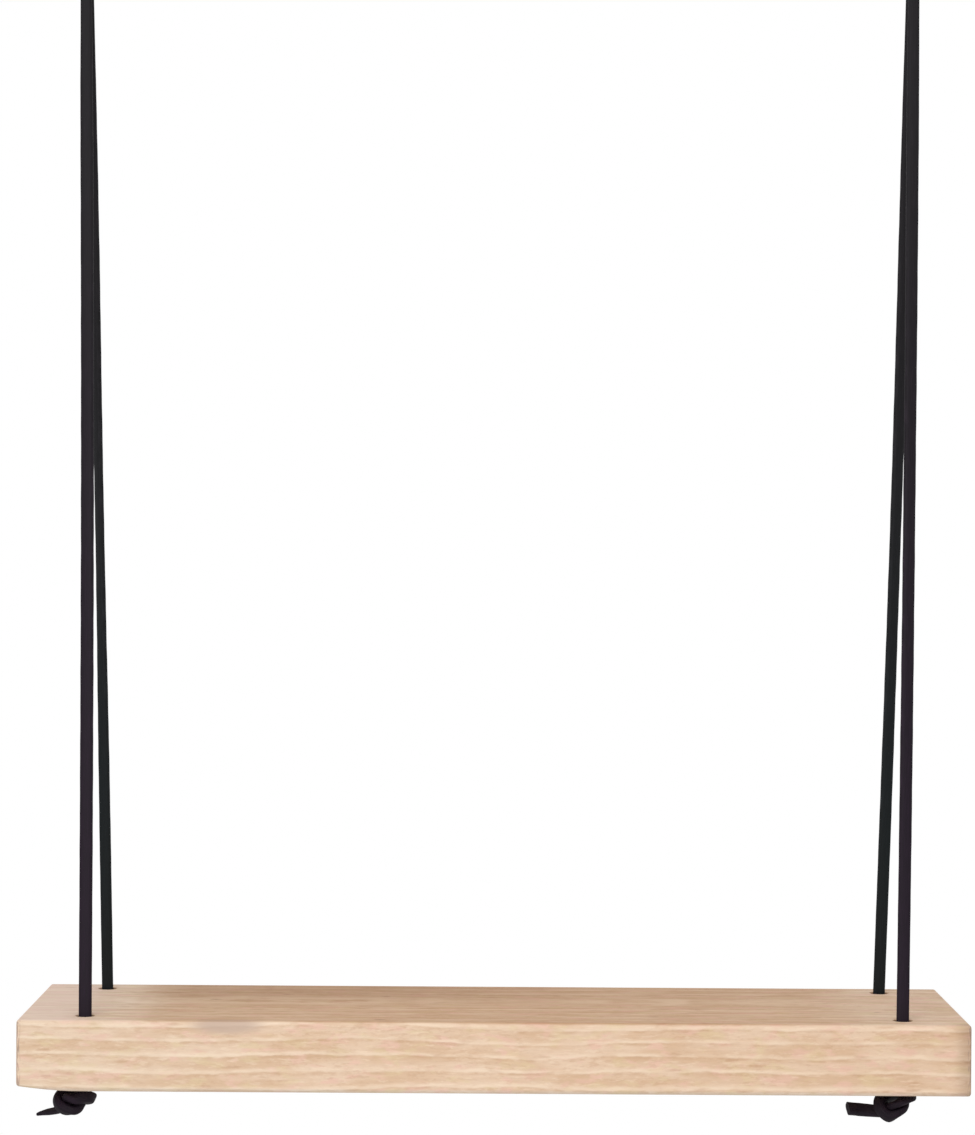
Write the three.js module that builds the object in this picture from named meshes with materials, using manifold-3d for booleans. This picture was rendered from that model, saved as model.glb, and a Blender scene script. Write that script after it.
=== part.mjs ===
// A plank shelf that hangs from two screw hooks by two flat black laces.
//
// Each lace is one length: knotted under the plank, up through the front hole, over the hook's
// wire, down through the back hole and knotted again. It is cut only where it flexes, at the
// hook and at the holes. Its knots are real overhand knots.
//
// Millimetres, +Z up, +X along the plank, -Y towards the viewer. The origin is on the surface
// that the hooks are screwed into, midway between them.

import * as THREE from 'three';
import { mergeVertices } from 'three/addons/utils/BufferGeometryUtils.js';
import Module from 'manifold-3d';

// Driving dimensions

const BOARD = { length: 508, depth: 140, thickness: 38, edgeRound: 2.6, endRound: 1.4 };
const HOLE = { fromEnd: 34.5, fromEdge: 18, chamfer: 0.8, ease: 3.2 };
const LACE = { width: 6.3, thickness: 3.6, drop: 560, hookOffset: 8 };
const HOOK = {
  wire: 4, eyeRadius: 9, neckRadius: 4, neckLength: 6, lipLength: 3,
  collarDiameter: 15, collarHeight: 2.6, collarRound: 0.9,
  screwDiameter: 3.8, screwLength: 18, screwPoint: 5,
};
const TAIL = { leftFront: 16.5, rightFront: 21, leftBack: 12, rightBack: 15 };

// Clearances: between touching pieces, where a lace flexes, how far a leg dips into its hole,
// and how far a bend runs on below the hook's wire.
const FIT = { touch: 0.3, flex: 0.9, legDip: 1.5, bendRun: 5 };
const OVERRUN = 1;

// Angles, counts and shares

const TURN = 2 * Math.PI;
const DEGREE = TURN / 360;
const LACE_SIDES = 12;
const WIRE_SIDES = 10;
const LATHE_SIDES = 24;
const LEG_STEPS = 20;
const BEND_STEPS = 10;

// The lace is a strip with soft corners: a power above 2 squares an ellipse off.
const LACE_SQUARENESS = 3.2;

// The knot's lay as shares of the lace's width and thickness together.
const knotShares = { ring: 0.727, lay: 0.283, rise: 0.424 };

// Places worked out from the driving dimensions

const holeX = BOARD.length / 2 - HOLE.fromEnd;
const holeY = BOARD.depth / 2 - HOLE.fromEdge;
const hookX = holeX + LACE.hookOffset;
const neckEndZ = -(HOOK.collarHeight + HOOK.neckLength);
const eyeZ = neckEndZ - Math.sqrt((HOOK.eyeRadius + HOOK.neckRadius) ** 2 - HOOK.neckRadius ** 2);
const wireZ = eyeZ - HOOK.eyeRadius;
const boardTopZ = wireZ - LACE.drop;
const boardUnderZ = boardTopZ - BOARD.thickness;

// Materials

const finish = (color, roughness, metalness = 0) =>
  new THREE.MeshStandardMaterial({ color, roughness, metalness });
const pine = () => finish(0xe6cfae, 0.62);
const blackLace = () => finish(0x2b2a2e, 0.85);
const steel = () => finish(0xb4b4b2, 0.35, 1);

// Solids from geometries and back

const wasm = await Module();
wasm.setup();

function toSolid(geometry) {
  const bare = geometry.clone();
  bare.deleteAttribute('normal');
  bare.deleteAttribute('uv');
  const merged = mergeVertices(bare);
  return new wasm.Manifold(new wasm.Mesh({
    numProp: 3,
    vertProperties: new Float32Array(merged.attributes.position.array),
    triVerts: new Uint32Array(merged.index.array),
  }));
}

function toGeometry(solid) {
  const mesh = solid.getMesh();
  const geometry = new THREE.BufferGeometry();
  geometry.setAttribute('position', new THREE.BufferAttribute(mesh.vertProperties, 3));
  geometry.setIndex(new THREE.BufferAttribute(mesh.triVerts, 1));
  return geometry;
}

// A profile of [radius, height] points turned about the Z axis.
function turned(profile, sides = LATHE_SIDES) {
  const points = profile.map(([radius, height]) => new THREE.Vector2(radius, height));
  return new THREE.LatheGeometry(points, sides).rotateX(TURN / 4);
}

// Sections are rings of [across, through] points, counted anticlockwise.

function roundSection(diameter, sides) {
  return Array.from({ length: sides }, (_, i) => {
    const angle = i * TURN / sides;
    return [Math.cos(angle) * diameter / 2, Math.sin(angle) * diameter / 2];
  });
}

function stripSection() {
  const squared = (value) => Math.sign(value) * Math.abs(value) ** (2 / LACE_SQUARENESS);
  return Array.from({ length: LACE_SIDES }, (_, i) => {
    const angle = i * TURN / LACE_SIDES;
    return [squared(Math.cos(angle)) * LACE.width / 2, squared(Math.sin(angle)) * LACE.thickness / 2];
  });
}

const laceSection = stripSection();
const laceSpan = 2 * Math.max(...laceSection.map(([across, through]) => Math.hypot(across, through)));
const holeRadius = (laceSpan + HOLE.ease) / 2;

// A sweep carries a section along a list of stops. A stop has its point and its facing, the
// way the broad side looks, because a flat lace turns about its own length as it is laid.

function framesOf(stops) {
  return stops.map((stop, i) => {
    const before = stops[Math.max(i - 1, 0)].point;
    const after = stops[Math.min(i + 1, stops.length - 1)].point;
    const along = after.clone().sub(before).normalize();
    const across = stop.facing.clone().cross(along).normalize();
    const through = along.clone().cross(across);
    return { point: stop.point, along, across, through };
  });
}

function ringOf(frame, section, slant = 0) {
  return section.map(([across, through]) => frame.point.clone()
    .addScaledVector(frame.across, across)
    .addScaledVector(frame.through, through)
    .addScaledVector(frame.along, across * slant));
}

// The last ring may lie aslant, as where a lace's end is cut across at an angle.
function sweep(stops, section, slant = 0) {
  const frames = framesOf(stops);
  const rings = frames.map((frame) => ringOf(frame, section, frame === frames.at(-1) ? slant : 0));
  const sides = section.length;
  const triangles = [];
  for (let ring = 0; ring < rings.length - 1; ring += 1) {
    for (let side = 0; side < sides; side += 1) {
      const near = ring * sides + side;
      const next = ring * sides + (side + 1) % sides;
      triangles.push(near, next, near + sides, next, next + sides, near + sides);
    }
  }
  const last = (rings.length - 1) * sides;
  for (let side = 1; side < sides - 1; side += 1) {
    triangles.push(0, side + 1, side);
    triangles.push(last, last + side, last + side + 1);
  }
  const geometry = new THREE.BufferGeometry();
  const positions = rings.flat().flatMap((point) => point.toArray());
  geometry.setAttribute('position', new THREE.Float32BufferAttribute(positions, 3));
  geometry.setIndex(triangles);
  return geometry;
}

// The plank: every edge eased, drilled through near its four corners

function boardGeometry() {
  const halfDepth = BOARD.depth / 2;
  const halfThickness = BOARD.thickness / 2;
  const round = BOARD.edgeRound;
  const outline = new THREE.Shape();
  outline.absarc(halfDepth - round, halfThickness - round, round, 0, TURN / 4);
  outline.absarc(round - halfDepth, halfThickness - round, round, TURN / 4, TURN / 2);
  outline.absarc(round - halfDepth, round - halfThickness, round, TURN / 2, TURN * 3 / 4);
  outline.absarc(halfDepth - round, round - halfThickness, round, TURN * 3 / 4, TURN);
  const plank = new THREE.ExtrudeGeometry(outline, {
    depth: BOARD.length - 2 * BOARD.endRound,
    curveSegments: 4,
    bevelThickness: BOARD.endRound,
    bevelSize: BOARD.endRound,
    bevelOffset: -BOARD.endRound,
    bevelSegments: 3,
  });
  plank.translate(0, 0, BOARD.endRound - BOARD.length / 2);
  const lengthwise = new THREE.Matrix4().makeBasis(
    new THREE.Vector3(0, 1, 0), new THREE.Vector3(0, 0, 1), new THREE.Vector3(1, 0, 0));
  plank.applyMatrix4(lengthwise);

  // Each hole has a light chamfer on both faces.
  const mouth = holeRadius + HOLE.chamfer + OVERRUN;
  const end = halfThickness + OVERRUN;
  const throat = halfThickness - HOLE.chamfer;
  const drill = turned([
    [0, -end], [mouth, -end], [holeRadius, -throat], [holeRadius, throat], [mouth, end], [0, end],
  ]);
  let solid = toSolid(plank);
  for (const x of [-holeX, holeX]) {
    for (const y of [-holeY, holeY]) {
      solid = solid.subtract(toSolid(drill.clone().translate(x, y, 0)));
    }
  }
  return toGeometry(solid);
}

// A screw hook in its own X-Z plane: screw point, collar, neck, open eye and turned-out lip

const EYE_STEPS = 26;
const NECK_STEPS = 4;
const eyeEndShare = -0.525;
const lipShare = 0.36;

function hookStops() {
  const facing = new THREE.Vector3(0, 1, 0);
  const at = (x, z) => ({ point: new THREE.Vector3(x, 0, z), facing });
  const lean = Math.asin(HOOK.neckRadius / (HOOK.eyeRadius + HOOK.neckRadius));
  const stops = [at(0, -HOOK.collarHeight / 2), at(0, neckEndZ)];
  for (let i = 1; i < NECK_STEPS; i += 1) {
    const angle = TURN / 2 + (TURN / 4 - lean) * i / NECK_STEPS;
    stops.push(at(HOOK.neckRadius * (1 + Math.cos(angle)), neckEndZ + HOOK.neckRadius * Math.sin(angle)));
  }
  const start = TURN / 4 - lean;
  for (let i = 0; i <= EYE_STEPS; i += 1) {
    const angle = start + (eyeEndShare * TURN - start) * i / EYE_STEPS;
    stops.push(at(HOOK.eyeRadius * Math.cos(angle), eyeZ + HOOK.eyeRadius * Math.sin(angle)));
  }
  const tip = stops[stops.length - 1].point;
  const lip = lipShare * TURN;
  stops.push(at(tip.x + HOOK.lipLength * Math.cos(lip), tip.z + HOOK.lipLength * Math.sin(lip)));
  return stops;
}

function hookGeometry() {
  const stops = hookStops();
  const wire = toSolid(sweep(stops, roundSection(HOOK.wire, WIRE_SIDES)));
  const collarRadius = HOOK.collarDiameter / 2;
  const collar = turned([
    [0, -HOOK.collarHeight], [collarRadius - HOOK.collarRound, -HOOK.collarHeight],
    [collarRadius, HOOK.collarRound - HOOK.collarHeight], [collarRadius, 0], [0, 0],
  ]);
  const screwRadius = HOOK.screwDiameter / 2;
  const screw = turned([
    [0, -HOOK.collarHeight / 2], [screwRadius, -HOOK.collarHeight / 2],
    [screwRadius, HOOK.screwLength - HOOK.screwPoint], [0, HOOK.screwLength],
  ], WIRE_SIDES);
  const tip = stops[stops.length - 1].point;
  const bead = new THREE.SphereGeometry(HOOK.wire / 2, WIRE_SIDES, WIRE_SIDES / 2);
  bead.translate(tip.x, tip.y, tip.z);
  return toGeometry(wire.add(toSolid(collar)).add(toSolid(screw)).add(toSolid(bead)));
}

// The lace round the hook's wire. It leaves the wire along the tangents to its two holes.

const wrapRadius = HOOK.wire / 2 + FIT.touch + LACE.thickness / 2;
const legLean = Math.atan2(holeY, LACE.drop) - Math.asin(wrapRadius / Math.hypot(holeY, LACE.drop));
const flexY = wrapRadius * Math.cos(legLean) + FIT.bendRun * Math.sin(legLean);
const flexZ = wireZ + wrapRadius * Math.sin(legLean) - FIT.bendRun * Math.cos(legLean);

function bendGeometry() {
  const at = (y, z, angle) => ({
    point: new THREE.Vector3(0, y, z),
    facing: new THREE.Vector3(0, Math.cos(angle), Math.sin(angle)),
  });
  const back = legLean;
  const front = TURN / 2 - legLean;
  const endY = flexY - FIT.flex / 2 * Math.sin(legLean);
  const endZ = flexZ + FIT.flex / 2 * Math.cos(legLean);
  const stops = [at(-endY, endZ, front)];
  for (let i = 0; i <= BEND_STEPS; i += 1) {
    const angle = front + (back - front) * i / BEND_STEPS;
    stops.push(at(wrapRadius * Math.cos(angle), wireZ + wrapRadius * Math.sin(angle), angle));
  }
  stops.push(at(endY, endZ, back));
  return sweep(stops, laceSection);
}

// A leg lies flat where it leaves the hook and where it enters its hole, and turns between.
function legGeometry({ side, row }, twistDegrees) {
  const top = new THREE.Vector3(side * hookX, row * flexY, flexZ);
  const mouth = new THREE.Vector3(side * holeX, row * holeY, boardTopZ);
  const down = mouth.clone().sub(top).normalize();
  const start = top.addScaledVector(down, FIT.flex / 2);
  const end = mouth.addScaledVector(down, FIT.legDip);
  const stops = Array.from({ length: LEG_STEPS + 1 }, (_, i) => {
    const share = i / LEG_STEPS;
    const facing = new THREE.Vector3(0, row, 0);
    facing.applyAxisAngle(down, twistDegrees * DEGREE * Math.sin(TURN / 2 * share) ** 2);
    return { point: start.clone().lerp(end, share), facing };
  });
  return sweep(stops, laceSection);
}

// An overhand knot and the stretch of lace that stands in the hole above it. The lay winds
// three times over itself for every two times round. Three quarters of that winding, with
// both ends led out, is an overhand knot.

const KNOT_ROUND = 2;
const KNOT_OVER = 3;
const COIL_STEPS = 42;
const LEAD_STEPS = 4;
const TAIL_STEPS = 4;

function knotCoil({ spinDegrees, tiltDegrees, windShares }) {
  const girth = LACE.width + LACE.thickness;
  const ring = knotShares.ring * girth;
  const lay = knotShares.lay * girth;
  const rise = knotShares.rise * girth;
  const [first, last] = windShares;
  const [tiltX, tiltY] = tiltDegrees.map((degrees) => degrees * DEGREE);
  const lie = new THREE.Matrix4().makeRotationFromEuler(new THREE.Euler(tiltX, tiltY, 0))
    .multiply(new THREE.Matrix4().makeRotationZ(spinDegrees * DEGREE));
  return Array.from({ length: COIL_STEPS + 1 }, (_, i) => {
    const wound = TURN * (first + (last - first) * i / COIL_STEPS);
    const round = -KNOT_ROUND * wound;
    const over = TURN / 2 + KNOT_OVER * wound;
    const outward = new THREE.Vector3(Math.cos(round), Math.sin(round), 0);
    const point = outward.clone().multiplyScalar(ring + lay * Math.cos(over));
    point.z = rise * Math.sin(over);
    const facing = outward.multiplyScalar(rise * Math.cos(over));
    facing.z = lay * Math.sin(over);
    return { point: point.applyMatrix4(lie), facing: facing.normalize().applyMatrix4(lie) };
  });
}

// In the knot's own frame the origin is the hole's centre on the plank's underside.
function knotStops(knot) {
  const coil = knotCoil(knot);
  const crown = Math.max(...framesOf(coil).flatMap((frame) => ringOf(frame, laceSection).map((p) => p.z)));
  const seat = new THREE.Vector3(coil[0].point.x, coil[0].point.y, crown + FIT.touch);
  coil.forEach((stop) => stop.point.sub(seat));

  // The stretch in the hole lies flat like the leg above it and turns into the coil below.
  const entry = coil[0];
  const flat = new THREE.Vector3(0, Math.sign(entry.facing.y), 0);
  const stubTop = BOARD.thickness - FIT.legDip - FIT.flex;
  const lead = [{ point: new THREE.Vector3(0, 0, stubTop), facing: flat }];
  for (let i = 0; i < LEAD_STEPS; i += 1) {
    const share = i / LEAD_STEPS;
    const point = new THREE.Vector3(0, 0, 0).lerp(entry.point, share);
    lead.push({ point, facing: flat.clone().lerp(entry.facing, share).normalize() });
  }

  const tail = [];
  const exit = coil[COIL_STEPS];
  const leaving = exit.point.clone().sub(coil[COIL_STEPS - 1].point).normalize();
  const heading = new THREE.Vector3(...knot.headingShares).normalize();
  const from = exit.point.clone();
  for (let i = 1; i <= TAIL_STEPS; i += 1) {
    const step = leaving.clone().lerp(heading, i / TAIL_STEPS).normalize();
    from.addScaledVector(step, knot.tail / TAIL_STEPS);
    tail.push({ point: from.clone(), facing: exit.facing });
  }
  return [...lead, ...coil, ...tail];
}

// The least gap between the surface points of a knot's rings and the other stretches of its lace,
// each taken as a block. Stretches nearer along the lace than two widths aren't compared.
function leastGap(stops) {
  const frames = framesOf(stops);
  const apart = 2 * LACE.width;
  const run = [0];
  stops.slice(1).forEach((stop, i) => run.push(run[i] + stop.point.distanceTo(stops[i].point)));
  const blocks = stops.slice(1).map((stop, i) => {
    const along = stop.point.clone().sub(stops[i].point).normalize();
    const across = frames[i].across.clone().add(frames[i + 1].across).normalize();
    const middle = stop.point.clone().lerp(stops[i].point, 1 / 2);
    return { middle, along, across, through: along.clone().cross(across), from: run[i], to: run[i + 1] };
  });
  const beyond = (value, whole) => Math.max(Math.abs(value) - whole / 2, 0);
  let least = Infinity;
  frames.forEach((frame, i) => ringOf(frame, laceSection).forEach((point) => {
    blocks.forEach((block) => {
      if (run[i] > block.from - apart && run[i] < block.to + apart) return;
      const offset = point.clone().sub(block.middle);
      const gap = Math.hypot(
        beyond(offset.dot(block.along), block.to - block.from),
        beyond(offset.dot(block.across), LACE.width),
        beyond(offset.dot(block.through), LACE.thickness));
      least = Math.min(least, gap);
    });
  }));
  return least;
}

// The shelf

const shelf = new THREE.Group();

function place(name, geometry, material, x = 0, y = 0, z = 0) {
  const mesh = new THREE.Mesh(geometry, material);
  mesh.name = name;
  mesh.position.set(x, y, z);
  shelf.add(mesh);
  return mesh;
}

place('board', boardGeometry(), pine(), 0, 0, boardTopZ - BOARD.thickness / 2);
place('left_hook', hookGeometry(), steel(), -hookX);
place('right_hook', hookGeometry(), steel(), hookX).rotation.z = TURN / 2;
place('left_bend', bendGeometry(), blackLace(), -hookX);
place('right_bend', bendGeometry(), blackLace(), hookX);

// Each leg and knot is named after its corner of the plank.
const cornerOf = (name) => ({
  side: name.startsWith('left') ? -1 : 1,
  row: name.includes('front') ? -1 : 1,
});

const LEGS = {
  left_front_leg: { twistDegrees: 12 },
  left_back_leg: { twistDegrees: 75 },
  right_front_leg: { twistDegrees: -20 },
  right_back_leg: { twistDegrees: -35 },
};
for (const [name, { twistDegrees }] of Object.entries(LEGS)) {
  place(name, legGeometry(cornerOf(name), twistDegrees), blackLace());
}

// Tied by hand, so each knot lies its own way. The wind shares say where on the lay the coil
// begins and ends, the heading shares where its tail points, the slant share how it is cut.
const KNOTS = {
  left_front_knot: {
    spinDegrees: -30, tiltDegrees: [11, -8], windShares: [-0.06, 0.716],
    tail: TAIL.leftFront, headingShares: [-1, 0.26, -0.02], slantShare: -0.8,
  },
  right_front_knot: {
    spinDegrees: -5, tiltDegrees: [33, -11], windShares: [-0.03, 0.726],
    tail: TAIL.rightFront, headingShares: [-1, -0.19, 0.3], slantShare: 0.1,
  },
  left_back_knot: {
    spinDegrees: 0, tiltDegrees: [20, 0], windShares: [-0.03, 0.69],
    tail: TAIL.leftBack, headingShares: [-1, -0.2, -0.2], slantShare: 0.3,
  },
  right_back_knot: {
    spinDegrees: -45, tiltDegrees: [0, 15], windShares: [-0.03, 0.69],
    tail: TAIL.rightBack, headingShares: [-1, 0.3, 0.1], slantShare: -0.2,
  },
};
for (const [name, knot] of Object.entries(KNOTS)) {
  const stops = knotStops(knot);
  const geometry = sweep(stops, laceSection, knot.slantShare);
  const { side, row } = cornerOf(name);
  place(name, geometry, blackLace(), side * holeX, row * holeY, boardUnderZ);
  console.log(`${name}: least gap to itself ${leastGap(stops).toFixed(2)} mm`);
}

export default shelf;
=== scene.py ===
"""A plank shelf that hangs from two screw hooks by two flat black laces, dressed in Blender 4.5.

Metres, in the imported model's frame: +X along the plank, -Y towards the viewer, +Z up. The origin is
on the surface that the hooks are screwed into, midway between them.
"""
import logging
import math
from collections.abc import Mapping, Sequence
from dataclasses import dataclass, field
from enum import Enum

import bmesh
import bpy
from mathutils import Matrix, Vector
from mathutils.bvhtree import BVHTree


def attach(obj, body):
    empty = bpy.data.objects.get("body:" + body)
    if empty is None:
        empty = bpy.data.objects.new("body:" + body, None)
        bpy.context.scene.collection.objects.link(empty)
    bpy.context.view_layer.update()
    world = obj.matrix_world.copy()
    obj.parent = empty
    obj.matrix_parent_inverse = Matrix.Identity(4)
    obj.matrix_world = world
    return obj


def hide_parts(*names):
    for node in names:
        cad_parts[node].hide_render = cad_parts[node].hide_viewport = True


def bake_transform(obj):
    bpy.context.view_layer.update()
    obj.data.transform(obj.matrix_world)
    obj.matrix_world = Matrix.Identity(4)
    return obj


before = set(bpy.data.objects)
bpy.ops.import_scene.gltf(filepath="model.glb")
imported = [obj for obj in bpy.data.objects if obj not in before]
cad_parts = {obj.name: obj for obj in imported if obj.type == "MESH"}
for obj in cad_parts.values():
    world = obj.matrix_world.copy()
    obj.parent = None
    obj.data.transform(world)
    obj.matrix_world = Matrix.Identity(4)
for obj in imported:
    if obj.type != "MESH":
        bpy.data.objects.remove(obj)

log = logging.getLogger("shelf")

MM = 0.001
TURN = 2 * math.pi

Span = tuple[float, float]
Triple = tuple[float, float, float]
Colour = tuple[float, float, float, float]
Socket = bpy.types.NodeSocket
Outputs = Mapping[str, Socket]
Value = float | Sequence[float] | Socket


class Side(Enum):
    """The left or the right lace and hook."""

    LEFT = -1
    RIGHT = 1


class Row(Enum):
    """The front or the back row of holes."""

    FRONT = -1
    BACK = 1


class Slot(Enum):
    """The record's material slots."""

    PINE = "pine"
    LACE = "black_lace"
    STEEL = "steel"


class Axis(Enum):
    """The plank's axes: along it, across it and up."""

    X = 0
    Y = 1
    Z = 2


@dataclass(frozen=True)
class Stop:
    """A point on a lace's or a wire's way, and the way that its broad side looks there."""

    point: Vector
    facing: Vector
    girth: float = 1.0


@dataclass(frozen=True)
class Layout:
    """The shelf's sizes in metres, and the places that follow from them, as in the part's source."""

    board_length: float = 508 * MM
    board_depth: float = 140 * MM
    board_thickness: float = 38 * MM
    hole_from_end: float = 34.5 * MM
    hole_from_edge: float = 18 * MM
    hole_radius: float = 4.75 * MM
    lace_width: float = 6.3 * MM
    lace_thickness: float = 3.6 * MM
    lace_drop: float = 560 * MM
    hook_offset: float = 8 * MM
    wire: float = 4 * MM
    eye_radius: float = 9 * MM
    neck_radius: float = 4 * MM
    neck_length: float = 6 * MM
    collar_height: float = 2.6 * MM
    touch: float = 0.3 * MM
    bend_run: float = 5 * MM

    @property
    def hole_x(self) -> float:
        """How far the holes are from the middle, along the plank."""
        return self.board_length / 2 - self.hole_from_end

    @property
    def hole_y(self) -> float:
        """How far the holes are from the middle, across the plank."""
        return self.board_depth / 2 - self.hole_from_edge

    @property
    def hook_x(self) -> float:
        """How far the hooks are from the middle."""
        return self.hole_x + self.hook_offset

    @property
    def neck_end_z(self) -> float:
        """The lower end of a hook's straight neck."""
        return -(self.collar_height + self.neck_length)

    @property
    def eye_z(self) -> float:
        """The height of a hook's eye centre."""
        reach = self.eye_radius + self.neck_radius
        return self.neck_end_z - math.sqrt(reach**2 - self.neck_radius**2)

    @property
    def wire_z(self) -> float:
        """The height of the wire that the lace lies over."""
        return self.eye_z - self.eye_radius

    @property
    def board_top_z(self) -> float:
        """The plank's top face."""
        return self.wire_z - self.lace_drop

    @property
    def board_middle_z(self) -> float:
        """The height of the plank's middle."""
        return self.board_top_z - self.board_thickness / 2

    @property
    def board_under_z(self) -> float:
        """The plank's underside."""
        return self.board_top_z - self.board_thickness

    @property
    def wrap_radius(self) -> float:
        """The radius of the lace's middle where it goes round the wire."""
        return self.wire / 2 + self.touch + self.lace_thickness / 2

    @property
    def leg_lean(self) -> float:
        """The angle between a leg of the lace and the plumb line, seen from the side."""
        slope = math.atan2(self.hole_y, self.lace_drop)
        return slope - math.asin(self.wrap_radius / math.hypot(self.hole_y, self.lace_drop))

    @property
    def flex_y(self) -> float:
        """Where a leg begins below the hook's wire, across the plank."""
        return self.wrap_radius * math.cos(self.leg_lean) + self.bend_run * math.sin(self.leg_lean)

    @property
    def flex_z(self) -> float:
        """Where a leg begins below the hook's wire, in height."""
        drop = self.wrap_radius * math.sin(self.leg_lean) - self.bend_run * math.cos(self.leg_lean)
        return self.wire_z + drop

    def mouth(self, side: Side, row: Row) -> Vector:
        """The centre of a hole's upper mouth."""
        return Vector((side.value * self.hole_x, row.value * self.hole_y, self.board_top_z))


@dataclass(frozen=True)
class Edge:
    """Where something sets in along an axis, in millimetres, and how much of it there is before that."""

    axis: Axis
    empty: float
    full: float
    least: float = 0.0


@dataclass(frozen=True)
class Zone:
    """A part of a surface that is tinted, and the edges that bound it."""

    tint: Colour
    edges: tuple[Edge, ...]


class Recipe:
    """Lays out one node tree, step by step."""

    nodes_a_row: int = 12
    nodes_apart: Span = (190, -260)

    def __init__(self, tree: bpy.types.NodeTree) -> None:
        """Keeps the tree that the nodes go into."""
        self.tree = tree

    def feed(self, socket: Socket, value: Value) -> None:
        """Joins a value to an input, or sets the input to it.

        Args:
            socket: The input.
            value: An output to join, or a number, colour or vector to set.
        """
        if isinstance(value, Socket):
            self.tree.links.new(value, socket)
        else:
            socket.default_value = value

    def node(
        self, kind: str, inputs: dict[str | int, Value] | None = None, **settings: object,
    ) -> bpy.types.Node:
        """Adds a node.

        Args:
            kind: The node's type name.
            inputs: Values for its inputs, by name or number.
            **settings: The node's own settings.

        Returns:
            The new node.
        """
        made = self.tree.nodes.new(kind)
        row, column = divmod(len(self.tree.nodes), self.nodes_a_row)
        made.location = (self.nodes_apart[0] * column, self.nodes_apart[1] * row)
        for name, setting in settings.items():
            setattr(made, name, setting)
        for name, value in (inputs or {}).items():
            self.feed(made.inputs[name], value)
        return made

    def maths(self, operation: str, *values: Value, clamp: bool = False) -> Socket:
        """Adds one step of arithmetic and returns its result."""
        made = self.node("ShaderNodeMath", dict(enumerate(values)), operation=operation, use_clamp=clamp)
        return made.outputs[0]

    def total(self, *values: Value) -> Socket:
        """Adds several values up."""
        result = values[0]
        for value in values[1:]:
            result = self.maths("ADD", result, value)
        return result

    def product(self, *values: Value) -> Socket:
        """Multiplies several values."""
        result = values[0]
        for value in values[1:]:
            result = self.maths("MULTIPLY", result, value)
        return result

    def mixture(self, values: Sequence[Value], weights: Sequence[Value]) -> Socket:
        """Adds several values up, each by its weight."""
        return self.total(*(self.product(value, weight) for value, weight in zip(values, weights)))

    def spread(self, *values: Value) -> Socket:
        """Finds the root of the sum of some values' squares."""
        return self.maths("SQRT", self.mixture(values, values))

    def at_least(self, least: float, share: Value) -> Socket:
        """Brings a share from 0 to 1 between a least one and 1."""
        return self.total(least, self.product(share, 1 - least)) if least else share

    def split(self, vector: Value) -> tuple[Socket, ...]:
        """Takes a vector apart into its three numbers."""
        return tuple(self.node("ShaderNodeSeparateXYZ", {0: vector}).outputs)

    def joined(self, x: Value, y: Value, z: Value) -> Socket:
        """Puts three numbers together as a vector."""
        return self.node("ShaderNodeCombineXYZ", {0: x, 1: y, 2: z}).outputs[0]

    def rise(self, value: Value, empty: float, full: float) -> Socket:
        """Turns a value into 0 at one level, 1 at another, higher or lower one, and a smooth rise between."""
        inputs = {"Value": value, "From Min": empty, "From Max": full}
        return self.node("ShaderNodeMapRange", inputs, interpolation_type="SMOOTHSTEP").outputs[0]

    def noise(
        self, vector: Value, scale: float = 1.0, detail: float = 2.0, roughness: float = 0.5,
    ) -> Socket:
        """Adds soft noise.

        Args:
            vector: Where it is read.
            scale: How fine it is.
            detail: How many finer layers lie on it.
            roughness: How strong these are.

        Returns:
            A number from 0 to 1, mostly near a half.
        """
        inputs = {"Vector": vector, "Scale": scale, "Detail": detail, "Roughness": roughness}
        return self.node("ShaderNodeTexNoise", inputs).outputs[0]

    def cells(self, vector: Value, scale: float = 1.0) -> Outputs:
        """Adds a pattern of irregular cells and returns its outputs."""
        return self.node("ShaderNodeTexVoronoi", {"Vector": vector, "Scale": scale}).outputs

    def profile(self, value: Value, points: Sequence[Span]) -> Socket:
        """Reads a value off a line through some points.

        Args:
            value: The number from 0 to 1 to look up.
            points: Places from 0 to 1 and the level at each.

        Returns:
            The level.
        """
        made = self.node("ShaderNodeValToRGB", {0: value})
        elements = made.color_ramp.elements
        while len(elements) < len(points):
            elements.new(0.5)
        for element, (place, level) in zip(elements, points):
            element.position = place
            element.color = (level, level, level, 1)
        return made.outputs[0]

    def tint(self, share: Value, first: Value, second: Value, kind: str = "MIX") -> Socket:
        """Mixes two colours by a share."""
        # The node keeps its numbers and vectors before its colours, which are inputs 6 and 7 and output 2.
        inputs = {0: share, 6: first, 7: second}
        return self.node("ShaderNodeMix", inputs, data_type="RGBA", blend_type=kind).outputs[2]

    def within(self, place: Sequence[Value], *edges: Edge) -> Socket:
        """Multiplies what some edges let through at a place, whose numbers are in millimetres."""
        return self.product(*(
            self.at_least(edge.least, self.rise(place[edge.axis.value], edge.empty, edge.full))
            for edge in edges))

    def zoned(self, colour: Value, place: Sequence[Value], *zones: Zone) -> Value:
        """Tints a colour in some zones.

        Args:
            colour: The colour.
            place: The place along each axis, in millimetres.
            *zones: The zones.

        Returns:
            The tinted colour.
        """
        for zone in zones:
            colour = self.tint(self.within(place, *zone.edges), colour, zone.tint, "MULTIPLY")
        return colour

    def millimetres(self, middle_z: float = 0.0) -> Socket:
        """Finds the place on the object in millimetres, counted from a height in metres."""
        place = self.node("ShaderNodeTexCoord").outputs["Object"]
        return self.node("ShaderNodeMapping", {
            "Vector": place, "Location": (0.0, 0.0, -middle_z / MM),
            "Scale": (1 / MM, 1 / MM, 1 / MM)}).outputs[0]


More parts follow.
